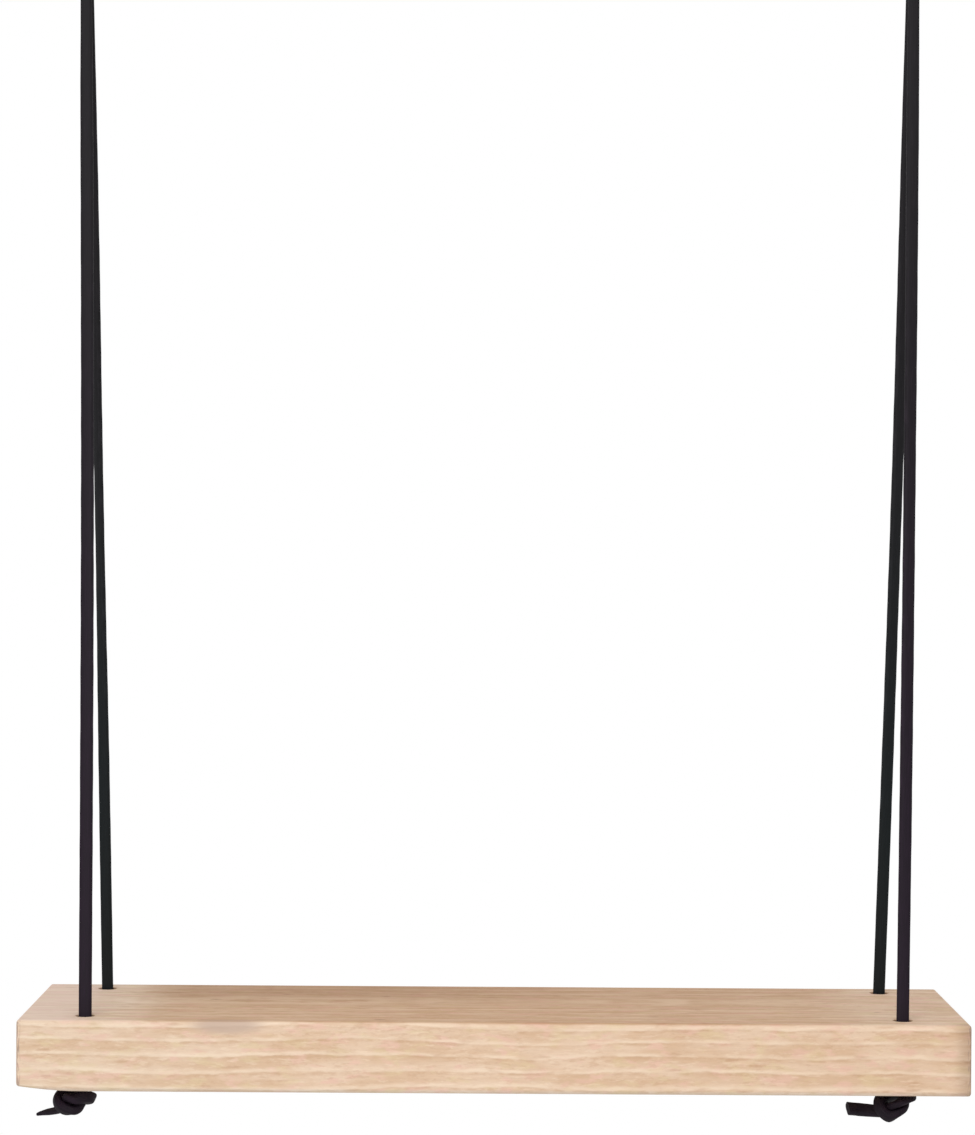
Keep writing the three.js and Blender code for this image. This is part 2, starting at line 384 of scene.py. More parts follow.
def linear(red: int, green: int, blue: int) -> Colour:
    """Turns a screen colour into the linear one that shaders use.

    Args:
        red: From 0 to 255, as are the others.
        green: The green share.
        blue: The blue share.

    Returns:
        The linear colour with full alpha.
    """
    def one(level: int) -> float:
        """Turns one channel."""
        share = level / 255
        return share / 12.92 if share <= 0.04045 else ((share + 0.055) / 1.055) ** 2.4
    return one(red), one(green), one(blue), 1.0


@dataclass(frozen=True)
class Finish:
    """What each material has: a name, a record slot, the fine relief that it shows and how it shines."""

    name: str
    slot: Slot
    relief_strength: float
    relief_depth: float
    specular: float = 0.5

    def bench(self) -> tuple[bpy.types.Material, Recipe, bpy.types.Node]:
        """Starts the material.

        Returns:
            The material, a recipe on its tree, and its shader.
        """
        material = bpy.data.materials.new(self.name)
        material.use_nodes = True
        recipe = Recipe(material.node_tree)
        return material, recipe, material.node_tree.nodes["Principled BSDF"]

    def dress(
        self, recipe: Recipe, shader: bpy.types.Node, colour: Value, rough: Value, relief: Value,
    ) -> None:
        """Feeds the shader its colour, roughness and relief.

        Args:
            recipe: The recipe on the material's tree.
            shader: The shader.
            colour: Its base colour.
            rough: Its roughness.
            relief: The height of its fine relief, as a share of the depth.
        """
        bump = recipe.node("ShaderNodeBump", {
            "Height": relief, "Strength": self.relief_strength, "Distance": self.relief_depth})
        for name, value in (("Base Color", colour), ("Roughness", rough), ("Normal", bump.outputs[0])):
            recipe.feed(shader.inputs[name], value)
        shader.inputs["Specular IOR Level"].default_value = self.specular


@dataclass(frozen=True)
class Figure:
    """A noise in the wood: its size along and across the grain in millimetres, its start and its fineness."""

    along: float
    across: float
    start: float = 0.0
    detail: float = 2.0
    roughness: float = 0.5


@dataclass(frozen=True)
class Patches:
    """Soft patches in the wood: their noise, the levels that they rise between, and their least."""

    figure: Figure
    span: Span
    least: float = 0.0


@dataclass(frozen=True)
class PatchTint:
    """Patches of a colour, how strong it is, and larger patches that they may keep to."""

    colour: Colour
    share: float
    patches: Patches
    within: Patches | None = None


@dataclass(frozen=True)
class Band:
    """A band of each growth ring: its profile across the ring, and how it comes and goes along the ring."""

    profile: tuple[Span, ...]
    stretch: float
    seed: float
    span: Span
    least: float = 0.0


@dataclass(frozen=True)
class Scatter:
    """Spots in cells of their own: the cells' size and start, and the random number that picks them."""

    along: float
    across: float
    start: float
    channel: int
    luck: Span


class Grain(Recipe):
    """A recipe for wood, which knows its place in the plank and draws its noises out along X."""

    def __init__(self, tree: bpy.types.NodeTree, middle_z: float) -> None:
        """Finds the place in millimetres round the plank's middle, and how far away that is on each axis."""
        super().__init__(tree)
        self.place = self.split(self.millimetres(middle_z))
        self.away = [self.maths("ABSOLUTE", place) for place in self.place]

    def drawn_out(self, along: float, across: float, start: float) -> Socket:
        """Measures the place by one size along the grain and another across it."""
        x, y, z = self.place
        return self.joined(
            self.total(self.product(x, 1 / along), start),
            self.product(y, 1 / across), self.product(z, 1 / across))

    def figured(self, figure: Figure) -> Socket:
        """Reads a noise of the wood, from 0 to 1."""
        vector = self.drawn_out(figure.along, figure.across, figure.start)
        return self.noise(vector, detail=figure.detail, roughness=figure.roughness)

    def swing(self, figure: Figure, reach: float) -> Socket:
        """Makes a noise that swings either way by about half its reach."""
        return self.product(self.maths("SUBTRACT", self.figured(figure), 0.5), reach)

    def patchy(self, patches: Patches) -> Socket:
        """Lays soft patches, from what is left between them up to 1."""
        return self.at_least(patches.least, self.rise(self.figured(patches.figure), *patches.span))

    def banded(self, band: Band, turn: Value, number: Value) -> Socket:
        """Lays one band of every growth ring.

        Args:
            band: The band.
            turn: How far across its ring a place is, from 0 to 1.
            number: Which ring that is.

        Returns:
            The band's strength, from 0 to 1.
        """
        vector = self.joined(
            self.product(self.place[0], 1 / band.stretch), self.product(number, band.seed), band.seed)
        shown = self.at_least(band.least, self.rise(self.noise(vector), *band.span))
        return self.product(self.profile(turn, band.profile), shown)

    def scattered(self, scatter: Scatter) -> tuple[Socket, Outputs, Socket]:
        """Lays cells over the wood and picks some of them.

        Args:
            scatter: The cells and the luck that it takes.

        Returns:
            The place among the cells, the pattern's outputs, and 1 in a cell that is picked.
        """
        vector = self.drawn_out(scatter.along, scatter.across, scatter.start)
        cells = self.cells(vector)
        return vector, cells, self.rise(self.split(cells["Color"])[scatter.channel], *scatter.luck)


@dataclass(frozen=True)
class PineFinish(Finish):
    """Pale planed pine with wavy raised grain, sawn round a pith below the plank.

    All its lengths are in millimetres round the plank's middle.
    """

    name: str = "pale_pine"
    slot: Slot = Slot.PINE
    relief_strength: float = 0.42
    relief_depth: float = 0.35 * MM
    specular: float = 0.35
    layout: Layout = field(default_factory=Layout)

    # Growth rings round the pith, which wander slowly and ripple along the grain.
    pith: Span = (10.0, -75.0)
    ring: float = 5.6
    wander: tuple[tuple[Figure, float], ...] = (
        (Figure(130, 40, detail=1.0), 6.0), (Figure(38, 14, 5.0, 1.0), 1.5), (Figure(9, 5, 8.0, 3.0), 1.5))
    crests: Band = Band(
        ((0.0, 0.0), (0.6, 0.0), (0.68, 1.0), (0.76, 1.0), (0.9, 0.2), (1.0, 0.0)),
        24.0, 3.7, (0.36, 0.6), 0.35)
    troughs: Band = Band(
        ((0.0, 0.0), (0.38, 0.0), (0.52, 1.0), (0.57, 1.0), (0.62, 0.0)), 9.0, 5.3, (0.38, 0.66))

    # The wood's own colours, and small painted highlights (glints) along the grain in the crest colour.
    pale: Colour = linear(231, 203, 177)
    warm: Colour = linear(219, 186, 155)
    crest: Colour = linear(244, 221, 196)
    trough: Colour = linear(197, 158, 124)
    fleck: Colour = linear(182, 136, 102)
    mark: Colour = linear(164, 120, 92)
    paler: Patches = Patches(Figure(45, 9), (0.36, 0.64))
    stains_and_glints: tuple[PatchTint, ...] = (
        PatchTint(linear(232, 192, 172), 0.75, Patches(Figure(16, 7, 9.0, 3.0), (0.52, 0.64))),
        PatchTint(linear(224, 201, 160), 0.5, Patches(Figure(15, 6.5, 13.0, 3.0), (0.53, 0.65))),
        PatchTint(
            linear(206, 168, 136), 0.42, Patches(Figure(5.5, 1.7, 1.0, 5.0, 0.62), (0.5, 0.62)),
            Patches(Figure(26, 11, 7.0), (0.4, 0.62), 0.3)),
        # Small painted highlights (glints) in the crest colour, drawn out along the grain.
        PatchTint(crest, 0.34, Patches(Figure(7, 1.5, 6.0, 4.0, 0.6), (0.54, 0.66))))
    crest_share: float = 0.72
    trough_share: float = 0.42

    # Resin flecks with ragged outlines, rare thin marks that waver, and drawn-out open pores.
    flecks: Scatter = Scatter(14, 2.6, 2.0, 0, (0.74, 0.95))
    fleck_ragged: tuple[Figure, float] = (Figure(3, 1.2, 4.0, 2.0), 0.5)
    fleck_fade: Span = (0.5, 0.0)
    fleck_share: float = 0.42
    marks: Scatter = Scatter(19, 5.5, 21.0, 1, (0.72, 0.9))
    mark_waver: tuple[Figure, float] = (Figure(4, 2, 17.0, 1.0), 0.16)
    mark_slimness: Triple = (4.2, 3.0, 13.0)
    mark_fade: Span = (1.0, 0.1)
    mark_share: float = 0.6
    pores: Scatter = Scatter(2.6, 0.5, 12.0, 2, (0.5, 0.8))
    pore_fade: Span = (0.34, 0.12)

    # Fibres, threads and pores shade the wood. With crests and troughs before them, they also raise it.
    fibres: Figure = Figure(10, 0.8, 0.0, 3.0, 0.6)
    threads: Figure = Figure(4.5, 0.17, 3.0, 2.0, 0.6)
    shade: float = 0.865
    shade_weights: Triple = (0.15, 0.13, -0.07)
    relief_weights: tuple[float, ...] = (0.5, -0.35, 0.28, 0.16, -0.12)
    rough: float = 0.56
    rough_weights: Span = (0.2, 0.12)

    # Tones and painted shade on it: a greyish patch under the front top edge, ...
    front: Edge = Edge(Axis.Y, -60.0, -70.0)
    grey_patch: Colour = linear(200, 174, 156)
    grey_patch_middle: Span = (-142.0, 17.0)
    grey_patch_half: Span = (23.0, 6.0)
    grey_patch_fade: Span = (1.1, 0.4)
    grey_patch_strength: float = 0.85
    tones_and_shade: tuple[Zone, ...] = (
        # ... a cooler left end and a deeper right one, ...
        Zone((0.975, 0.995, 1.005, 1.0), (Edge(Axis.X, -60.0, -240.0),)),
        Zone((0.985, 0.965, 0.945, 1.0), (Edge(Axis.X, -150.0, 230.0),)),
        # ... and painted shade on the front: darker at its right end, darker along part of its upper arris
        # and cool grey-blue along its lower arris.
        # Painted shade towards the front's right end.
        Zone((0.74, 0.71, 0.69, 1.0), (Edge(Axis.X, 242.5, 252.5), front)),
        # Painted shade along part of the upper front arris.
        Zone((0.84, 0.76, 0.68, 1.0), (
            Edge(Axis.Y, -64.5, -67.5), Edge(Axis.Z, 17.6, 18.7), Edge(Axis.X, -70.0, 30.0),
            Edge(Axis.X, 190.0, 100.0))),
        # Painted cool grey-blue shade along the lower front arris.
        Zone((0.94, 1.02, 1.12, 1.0), (Edge(Axis.Z, -16.2, -17.8), front)))

    # The top face is tanned between the laces, with painted shade over the tan towards the back, and bleached
    # at its left end.
    upper: Edge = Edge(Axis.Z, 18.2, 19.0)
    tanned: Colour = (0.84, 0.74, 0.64, 1.0)
    tan_edges: tuple[Edge, ...] = (upper, Edge(Axis.X, 150.0, -20.0, 0.8))
    tan_ragged: tuple[Figure, float] = (Figure(30, 5, 11.0, 3.0), 46.0)
    tan_fade: Span = (214.0, 170.0)
    shaded: Colour = (0.79, 0.74, 0.69, 1.0)
    shaded_edges: tuple[Edge, ...] = (Edge(Axis.Y, -25.0, 45.0), Edge(Axis.X, 90.0, -70.0, 0.35))
    bleached: Colour = linear(240, 214, 200)
    bleached_edges: tuple[Edge, ...] = (upper, Edge(Axis.X, -205.0, -235.0))
    bleached_share: float = 0.5

    # Bores, arrises and ends are the same on either side of the middle.
    # The bores are darkened for their drilled end grain and with painted shade in the holes.
    bore: Colour = (0.62, 0.52, 0.42, 1.0)
    bore_fade: Span = (5.8, 4.8)
    # A pale painted highlight along the four long arrises, in patches.
    arris_edges: tuple[Edge, ...] = (Edge(Axis.Y, 67.6, 69.6), Edge(Axis.Z, 16.6, 18.6))
    arris_highlight_patches: Patches = Patches(Figure(25, 12, 3.0), (0.3, 0.6))
    arris_highlight_share: float = 0.1
    nick: Colour = linear(150, 126, 118)
    nick_edges: tuple[Edge, ...] = (Edge(Axis.X, 251.2, 252.9), Edge(Axis.Y, 67.0, 69.3))
    nick_size: Triple = (1.3, 1.3, 0.17)
    nick_span: Span = (0.46, 0.6)
    nick_share: float = 0.65
    end: Edge = Edge(Axis.X, 253.2, 253.9)
    end_share: float = 0.35

    def rings(self, grain: Grain) -> tuple[Socket, Socket]:
        """Lays the growth rings.

        Args:
            grain: The wood's recipe.

        Returns:
            The strength of the pale crests and of the dark troughs.
        """
        radius = grain.spread(*(
            grain.maths("SUBTRACT", place, pith) for place, pith in zip(grain.place[1:], self.pith)))
        radius = grain.total(radius, *(grain.swing(figure, reach) for figure, reach in self.wander))
        grown = grain.product(radius, 1 / self.ring)
        turn, number = grain.maths("FRACT", grown), grain.maths("FLOOR", grown)
        return grain.banded(self.crests, turn, number), grain.banded(self.troughs, turn, number)

    def stained_and_glinting(self, grain: Grain) -> Value:
        """Lays the wood's ground colour and its patches, with small painted highlights among them.

        Args:
            grain: The wood's recipe.

        Returns:
            The stained colour.
        """
        colour = grain.tint(grain.patchy(self.paler), self.warm, self.pale)
        for patch_tint in self.stains_and_glints:
            layers = [grain.patchy(patches) for patches in (patch_tint.patches, patch_tint.within) if patches]
            colour = grain.tint(grain.product(*layers, patch_tint.share), colour, patch_tint.colour)
        return colour

    def flecked(self, grain: Grain) -> Socket:
        """Scatters short resin flecks with ragged outlines.

        Args:
            grain: The wood's recipe.

        Returns:
            Their strength, from 0 to 1.
        """
        _, cells, lucky = grain.scattered(self.flecks)
        blot = grain.total(cells["Distance"], grain.swing(*self.fleck_ragged))
        return grain.product(lucky, grain.rise(blot, *self.fleck_fade), self.fleck_share)

    def marked(self, grain: Grain) -> Socket:
        """Scatters rare thin dark marks that waver a little.

        Args:
            grain: The wood's recipe.

        Returns:
            Their strength, from 0 to 1.
        """
        vector, cells, lucky = grain.scattered(self.marks)
        away = grain.node("ShaderNodeVectorMath", {0: vector, 1: cells["Position"]}, operation="SUBTRACT")
        along, across, up = grain.split(away.outputs[0])
        up = grain.total(up, grain.swing(*self.mark_waver))
        reaches = [grain.product(part, slim) for part, slim in zip((along, across, up), self.mark_slimness)]
        return grain.product(
            lucky, grain.rise(grain.mixture(reaches, reaches), *self.mark_fade), self.mark_share)

    def porous(self, grain: Grain) -> Socket:
        """Scatters drawn-out open pores."""
        _, cells, lucky = grain.scattered(self.pores)
        return grain.product(lucky, grain.rise(cells["Distance"], *self.pore_fade))

    def grey_patched(self, grain: Grain) -> Socket:
        """Finds the greyish patch under the front top edge.

        Args:
            grain: The wood's recipe.

        Returns:
            Its strength.
        """
        apart = grain.spread(*(
            grain.product(grain.maths("SUBTRACT", place, middle), 1 / half)
            for place, middle, half in zip(grain.place[::2], self.grey_patch_middle, self.grey_patch_half)))
        return grain.product(
            grain.rise(apart, *self.grey_patch_fade), grain.within(grain.place, self.front), self.grey_patch_strength)

    def tanned_top(self, grain: Grain, colour: Value) -> Value:
        """Tans the top face between the laces, paints shade over it towards the back, and bleaches its left
        end.

        Args:
            grain: The wood's recipe.
            colour: The colour so far.

        Returns:
            The tanned colour.
        """
        ragged = grain.total(grain.away[0], grain.swing(*self.tan_ragged))
        tanned = grain.product(grain.within(grain.place, *self.tan_edges), grain.rise(ragged, *self.tan_fade))
        colour = grain.tint(tanned, colour, self.tanned, "MULTIPLY")
        # Painted shade over the tan, deepest at the back and towards the left.
        shaded = grain.product(tanned, grain.within(grain.place, *self.shaded_edges))
        colour = grain.tint(shaded, colour, self.shaded, "MULTIPLY")
        bleached = grain.product(grain.within(grain.place, *self.bleached_edges), self.bleached_share)
        return grain.tint(bleached, colour, self.bleached)

    def edged(self, grain: Grain, colour: Value, grey_patch: Value, end: Value) -> Value:
        """Darkens the drilled bores, partly as painted shade, paints pale highlights on the arrises, nicks
        the upright ones and deepens the end grain.

        Args:
            grain: The wood's recipe.
            colour: The colour so far.
            grey_patch: Where the greyish patch covers an arris.
            end: Where the end grain is.

        Returns:
            The colour with all that.
        """
        # Drilled end grain and painted shade darken the bores and their mouths.
        from_hole = grain.spread(*(
            grain.maths("SUBTRACT", away, hole / MM)
            for away, hole in zip(grain.away, (self.layout.hole_x, self.layout.hole_y))))
        colour = grain.tint(grain.rise(from_hole, *self.bore_fade), colour, self.bore, "MULTIPLY")
        # A pale painted highlight along the arrises, held back under the greyish patch.
        arris = grain.product(
            grain.within(grain.away, *self.arris_edges), grain.patchy(self.arris_highlight_patches),
            grain.maths("SUBTRACT", 1.0, grey_patch))
        colour = grain.tint(grain.product(arris, self.arris_highlight_share), colour, self.crest)
        sawn = grain.joined(*(grain.product(place, size) for place, size in zip(grain.place, self.nick_size)))
        nicked = grain.product(
            grain.within(grain.away, *self.nick_edges), grain.rise(grain.noise(sawn), *self.nick_span))
        colour = grain.tint(grain.product(nicked, self.nick_share), colour, self.nick)
        return grain.tint(grain.product(end, self.end_share), colour, self.trough)

    def material(self) -> bpy.types.Material:
        """Builds the pine: rings, coloured patches and painted glints, then tones, nicks, and painted shade
        and highlights.
        """
        material, recipe, shader = self.bench()
        grain = Grain(recipe.tree, self.layout.board_middle_z)
        crest, trough = self.rings(grain)
        fibre, thread, pore = grain.figured(self.fibres), grain.figured(self.threads), self.porous(grain)
        colour = self.stained_and_glinting(grain)
        for share, tint in (
            (grain.product(trough, self.trough_share), self.trough),
            (grain.product(crest, self.crest_share), self.crest),
            (self.flecked(grain), self.fleck), (self.marked(grain), self.mark),
        ):
            colour = grain.tint(share, colour, tint)
        shade = grain.total(grain.mixture((fibre, thread, pore), self.shade_weights), self.shade)
        colour = grain.tint(1.0, colour, grain.joined(shade, shade, shade), "MULTIPLY")

        # A greyish patch under the front top edge.
        grey_patch = self.grey_patched(grain)
        colour = grain.tint(grey_patch, colour, self.grey_patch)
        # Tones, and painted shade at the front's right end and along its arrises.
        colour = grain.zoned(colour, grain.place, *self.tones_and_shade)
        colour = self.tanned_top(grain, colour)
        end = grain.within(grain.away, self.end)
        colour = self.edged(grain, colour, grey_patch, end)

        rough = grain.total(grain.mixture((fibre, end), self.rough_weights), self.rough)
        relief = grain.mixture((crest, trough, fibre, thread, pore), self.relief_weights)
        self.dress(grain, shader, colour, rough, relief)
        return material


@dataclass(frozen=True)
class LaceFinish(Finish):
    """Smooth matte black lace, a little lighter where it rubs: plum in front, green behind, and darkest below
    the plank, where shade is painted.
    """

    name: str = "matte_black_lace"
    slot: Slot = Slot.LACE
    relief_strength: float = 0.35
    relief_depth: float = 0.12 * MM
    specular: float = 0.17
    layout: Layout = field(default_factory=Layout)
    black: Colour = linear(26, 24, 27)
    rubbed: Colour = linear(43, 39, 44)
    rubbed_edge: Span = (0.7, 1.0)
    rubbed_patches: Span = (0.4, 0.7)
    rubbed_streaks: Span = (0.4, 0.8)
    rubbed_share: float = 0.5
    patch_scale: float = 0.12
    streak_scales: Span = (90.0, 5.0)
    pore_scale: float = 1.7
    pore_relief: float = 0.5
    rough: float = 0.5
    streak_rough: float = 0.25
    plum: Zone = Zone((1.2, 0.76, 1.24, 1.0), (Edge(Axis.Y, -12.0, -46.0),))
    green: Zone = Zone((0.58, 0.96, 0.9, 1.0), (Edge(Axis.Y, 12.0, 46.0),))
    # Painted shade on the lace below the plank's underside.
    under: Colour = (0.66, 0.6, 0.64, 1.0)
    under_edge: Span = (18.0, 22.0)

    def material(self) -> bpy.types.Material:
        """Builds the lace's finish on its own along and across values."""
        material, recipe, shader = self.bench()
        along, across = (
            recipe.node("ShaderNodeAttribute", attribute_name=name).outputs["Fac"]
            for name in ("lace_along", "lace_across"))
        place = recipe.millimetres()
        drawn = [recipe.product(run, scale) for run, scale in zip((along, across), self.streak_scales)]
        streaks = recipe.noise(recipe.joined(*drawn, 0.0), detail=3.0)
        worn = recipe.product(
            recipe.rise(recipe.maths("ABSOLUTE", across), *self.rubbed_edge),
            recipe.rise(recipe.noise(place, self.patch_scale), *self.rubbed_patches), self.rubbed_share)
        streaked = recipe.product(recipe.rise(streaks, *self.rubbed_streaks), self.rubbed_share)
        colour = recipe.tint(recipe.maths("ADD", worn, streaked, clamp=True), self.black, self.rubbed)
        # Painted shade darkens the lace below the plank.
        empty, full = (self.layout.board_middle_z / MM - below for below in self.under_edge)
        under = Zone(self.under, (Edge(Axis.Z, empty, full),))
        colour = recipe.zoned(colour, recipe.split(place), self.plum, self.green, under)
        rough = recipe.total(self.rough, recipe.product(streaks, self.streak_rough))
        pores = recipe.cells(place, self.pore_scale)["Distance"]
        relief = recipe.total(recipe.product(pores, self.pore_relief), streaks)
        self.dress(recipe, shader, colour, rough, relief)
        return material


@dataclass(frozen=True)
class PlatedSteelFinish(Finish):
    """Zinc-plated wire, slightly cloudy."""

    name: str = "plated_steel"
    slot: Slot = Slot.STEEL
    relief_strength: float = 0.2
    relief_depth: float = 0.05 * MM
    bright: Colour = linear(214, 215, 216)
    dull: Colour = linear(176, 175, 170)
    cloud_scale: float = 0.35
    cloud_span: Span = (0.38, 0.62)
    drawn_scale: float = 3.5
    rough: float = 0.2
    cloud_rough: float = 0.22

    def material(self) -> bpy.types.Material:
        """Builds the plating."""
        material, recipe, shader = self.bench()
        place = recipe.millimetres()
        clouds = recipe.noise(place, self.cloud_scale, detail=4.0, roughness=0.6)
        colour = recipe.tint(recipe.rise(clouds, *self.cloud_span), self.bright, self.dull)
        rough = recipe.total(self.rough, recipe.product(clouds, self.cloud_rough))
        self.dress(recipe, shader, colour, rough, recipe.noise(place, self.drawn_scale))
        shader.inputs["Metallic"].default_value = 1.0
        return material


def baked(piece: bpy.types.Object) -> bpy.types.Object:
    """Turns a piece's modifiers into plain mesh.

    Args:
        piece: The object with its modifiers.

    Returns:
        The same object, with the evaluated mesh and no modifier.
    """
    bpy.context.view_layer.update()
    depsgraph = bpy.context.evaluated_depsgraph_get()
    mesh = bpy.data.meshes.new_from_object(piece.evaluated_get(depsgraph), depsgraph=depsgraph)
    piece.modifiers.clear()
    old, piece.data = piece.data, mesh
    mesh.name = piece.name
    bpy.data.meshes.remove(old)
    return piece


def added(name: str, mesh: bpy.types.Mesh) -> bpy.types.Object:
    """Puts a mesh into the scene as an object at the origin."""
    piece = bpy.data.objects.new(name, mesh)
    bpy.context.scene.collection.objects.link(piece)
    return piece


def solid(name: str, shape: bmesh.types.BMesh) -> bpy.types.Object:
    """Puts a finished bmesh into the scene as an object at the origin, and frees it."""
    mesh = bpy.data.meshes.new(name)
    shape.to_mesh(mesh)
    shape.free()
    return added(name, mesh)


def bridged(shape: bmesh.types.BMesh, rings: Sequence[Sequence[bmesh.types.BMVert]]) -> None:
    """Lays faces from each ring of corners to the next. A ring may also be a single corner.

    Args:
        shape: The shape that has the corners.
        rings: The rings, in order.
    """
    for near, far in zip(rings, rings[1:]):
        for i in range(max(len(near), len(far))):
            k = i + 1
            corners = (near[i % len(near)], near[k % len(near)], far[k % len(far)], far[i % len(far)])
            shape.faces.new(list(dict.fromkeys(corners)))


def merged(name: str, pieces: Sequence[bpy.types.Object]) -> bpy.types.Object:
    """Joins several pieces of one material into one object.

    Args:
        name: The new object's name.
        pieces: The pieces, which are removed.

    Returns:
        The joined object.
    """
    shape = bmesh.new()
    for piece in pieces:
        shape.from_mesh(piece.data)
    whole = solid(name, shape)
    whole.data.materials.append(pieces[0].data.materials[0])
    for piece in pieces:
        bpy.data.objects.remove(piece)
    return whole


def outward(piece: bpy.types.Object) -> bpy.types.Object:
    """Turns a closed mesh's faces outwards if they look in."""
    shape = bmesh.new()
    shape.from_mesh(piece.data)
    if shape.calc_volume(signed=True) < 0:
        bmesh.ops.reverse_faces(shape, faces=shape.faces)
        shape.to_mesh(piece.data)
    shape.free()
    return piece


def turned(
    name: str, profile: Sequence[Span], sides: int, places: Sequence[Vector] = (Vector(),),
) -> bpy.types.Object:
    """Turns a closed profile about the Z axis, once at each place.

    Args:
        name: The new object's name.
        profile: Radius and height of each corner. The first and the last lie on the axis.
        sides: How many sides a turn has.
        places: Where the turned shapes stand.

    Returns:
        The turned shapes as one smooth object.
    """
    shape = bmesh.new()
    for place in places:
        bridged(shape, [[
            shape.verts.new(place + Vector((
                radius * math.cos(TURN * i / sides), radius * math.sin(TURN * i / sides), height)))
            for i in range(sides if radius else 1)] for radius, height in profile])
    bmesh.ops.recalc_face_normals(shape, faces=shape.faces)
    piece = solid(name, shape)
    piece.data.shade_smooth()
    return piece


def quarter(steps: int) -> list[Span]:
    """Steps through a quarter turn, and gives the cosine and the sine of every angle."""
    angles = [TURN / 4 * i / steps for i in range(steps + 1)]
    return [(math.cos(angle), math.sin(angle)) for angle in angles]


def eased(share: float) -> float:
    """Eases a share in and out, and keeps it between 0 and 1."""
    share = min(max(share, 0.0), 1.0)
    return share * share * (3 - 2 * share)


def length_of(stops: Sequence[Stop]) -> float:
    """Measures a way from stop to stop."""
    return sum((after.point - before.point).length for before, after in zip(stops, stops[1:]))


def headings(stops: Sequence[Stop]) -> list[Vector]:
    """Finds where a way heads at each stop, from the stop before to the stop after."""
    points = [stop.point for stop in stops]
    before, after = [points[0], *points[:-1]], [*points[1:], points[-1]]
    return [(end - start).normalized() for start, end in zip(before, after)]


def smoothed(stops: Sequence[Stop], passes: int) -> list[Stop]:
    """Rounds off the corners of a way, and leaves its two ends where they are.

    Args:
        stops: The way.
        passes: How often each stop moves halfway to its neighbours' middle.

    Returns:
        The smoother way.
    """
    points = [stop.point.copy() for stop in stops]
    facings = [stop.facing.copy() for stop in stops]
    for _ in range(passes):
        for row in (points, facings):
            middles = [(row[i - 1] + row[i + 1]) / 2 for i in range(1, len(row) - 1)]
            row[1:-1] = [old.lerp(middle, 0.5) for old, middle in zip(row[1:-1], middles)]
    return [
        Stop(point, facing.normalized(), stop.girth) for point, facing, stop in zip(points, facings, stops)]


def divided(stops: Sequence[Stop], step: float) -> list[Stop]:
    """Lays stops at even steps along a way.

    Args:
        stops: The way.
        step: The length of a step.

    Returns:
        The closer stops.
    """
    result = [stops[0]]
    for before, after in zip(stops, stops[1:]):
        count = max(1, round((after.point - before.point).length / step))
        for i in range(1, count + 1):
            share = i / count
            facing = before.facing.lerp(after.facing, share).normalized()
            girth = before.girth + (after.girth - before.girth) * share
            result.append(Stop(before.point.lerp(after.point, share), facing, girth))
    return result


def pressed(
    piece: bpy.types.Object, apart: float, reach: float,
    rounds: int = 3, passes: int = 6, clear: float = 0.01 * MM, sight: float = 3.0,
) -> None:
    """Swells a knotted lace where it faces its own turns, until they press on each other.

    Args:
        piece: The swept lace.
        apart: How far apart along the lace two turns are at least.
        reach: How far the surface may swell in all.
        rounds: How often it swells.
        passes: How often each swelling is evened out.
        clear: The gap that is left between two turns on each side.
        sight: How many times the reach the surface looks ahead.
    """
    mesh = piece.data
    count = len(mesh.vertices)
    along = [0.0] * count
    mesh.attributes["lace_along"].data.foreach_get("value", along)
    faces = [tuple(face.vertices) for face in mesh.polygons]
    face_along = [sum(along[i] for i in face) / len(face) for face in faces]
    near: list[list[int]] = [[] for _ in range(count)]
    for edge in mesh.edges:
        first, last = edge.vertices
        near[first].append(last)
        near[last].append(first)
    for _ in range(rounds):
        points = [vertex.co.copy() for vertex in mesh.vertices]
        normals = [vertex.normal.copy() for vertex in mesh.vertices]
        tree = BVHTree.FromPolygons(points, faces)
        room = [math.inf] * count
        for i in range(count):
            _, _, face, gap = tree.ray_cast(points[i] + normals[i] * clear, normals[i], sight * reach)
            if face is not None and abs(face_along[face] - along[i]) > apart:
                room[i] = max(gap / 2 - clear, 0.0)
        grown = [0.0 if space is math.inf else min(space, reach / rounds) for space in room]
        for _ in range(passes):
            grown = [
                min(room[i], (grown[i] + sum(grown[k] for k in near[i])) / (1 + len(near[i])))
                for i in range(count)]
        for vertex, point, normal, step in zip(mesh.vertices, points, normals, grown):
            vertex.co = point + normal * step
        mesh.update()


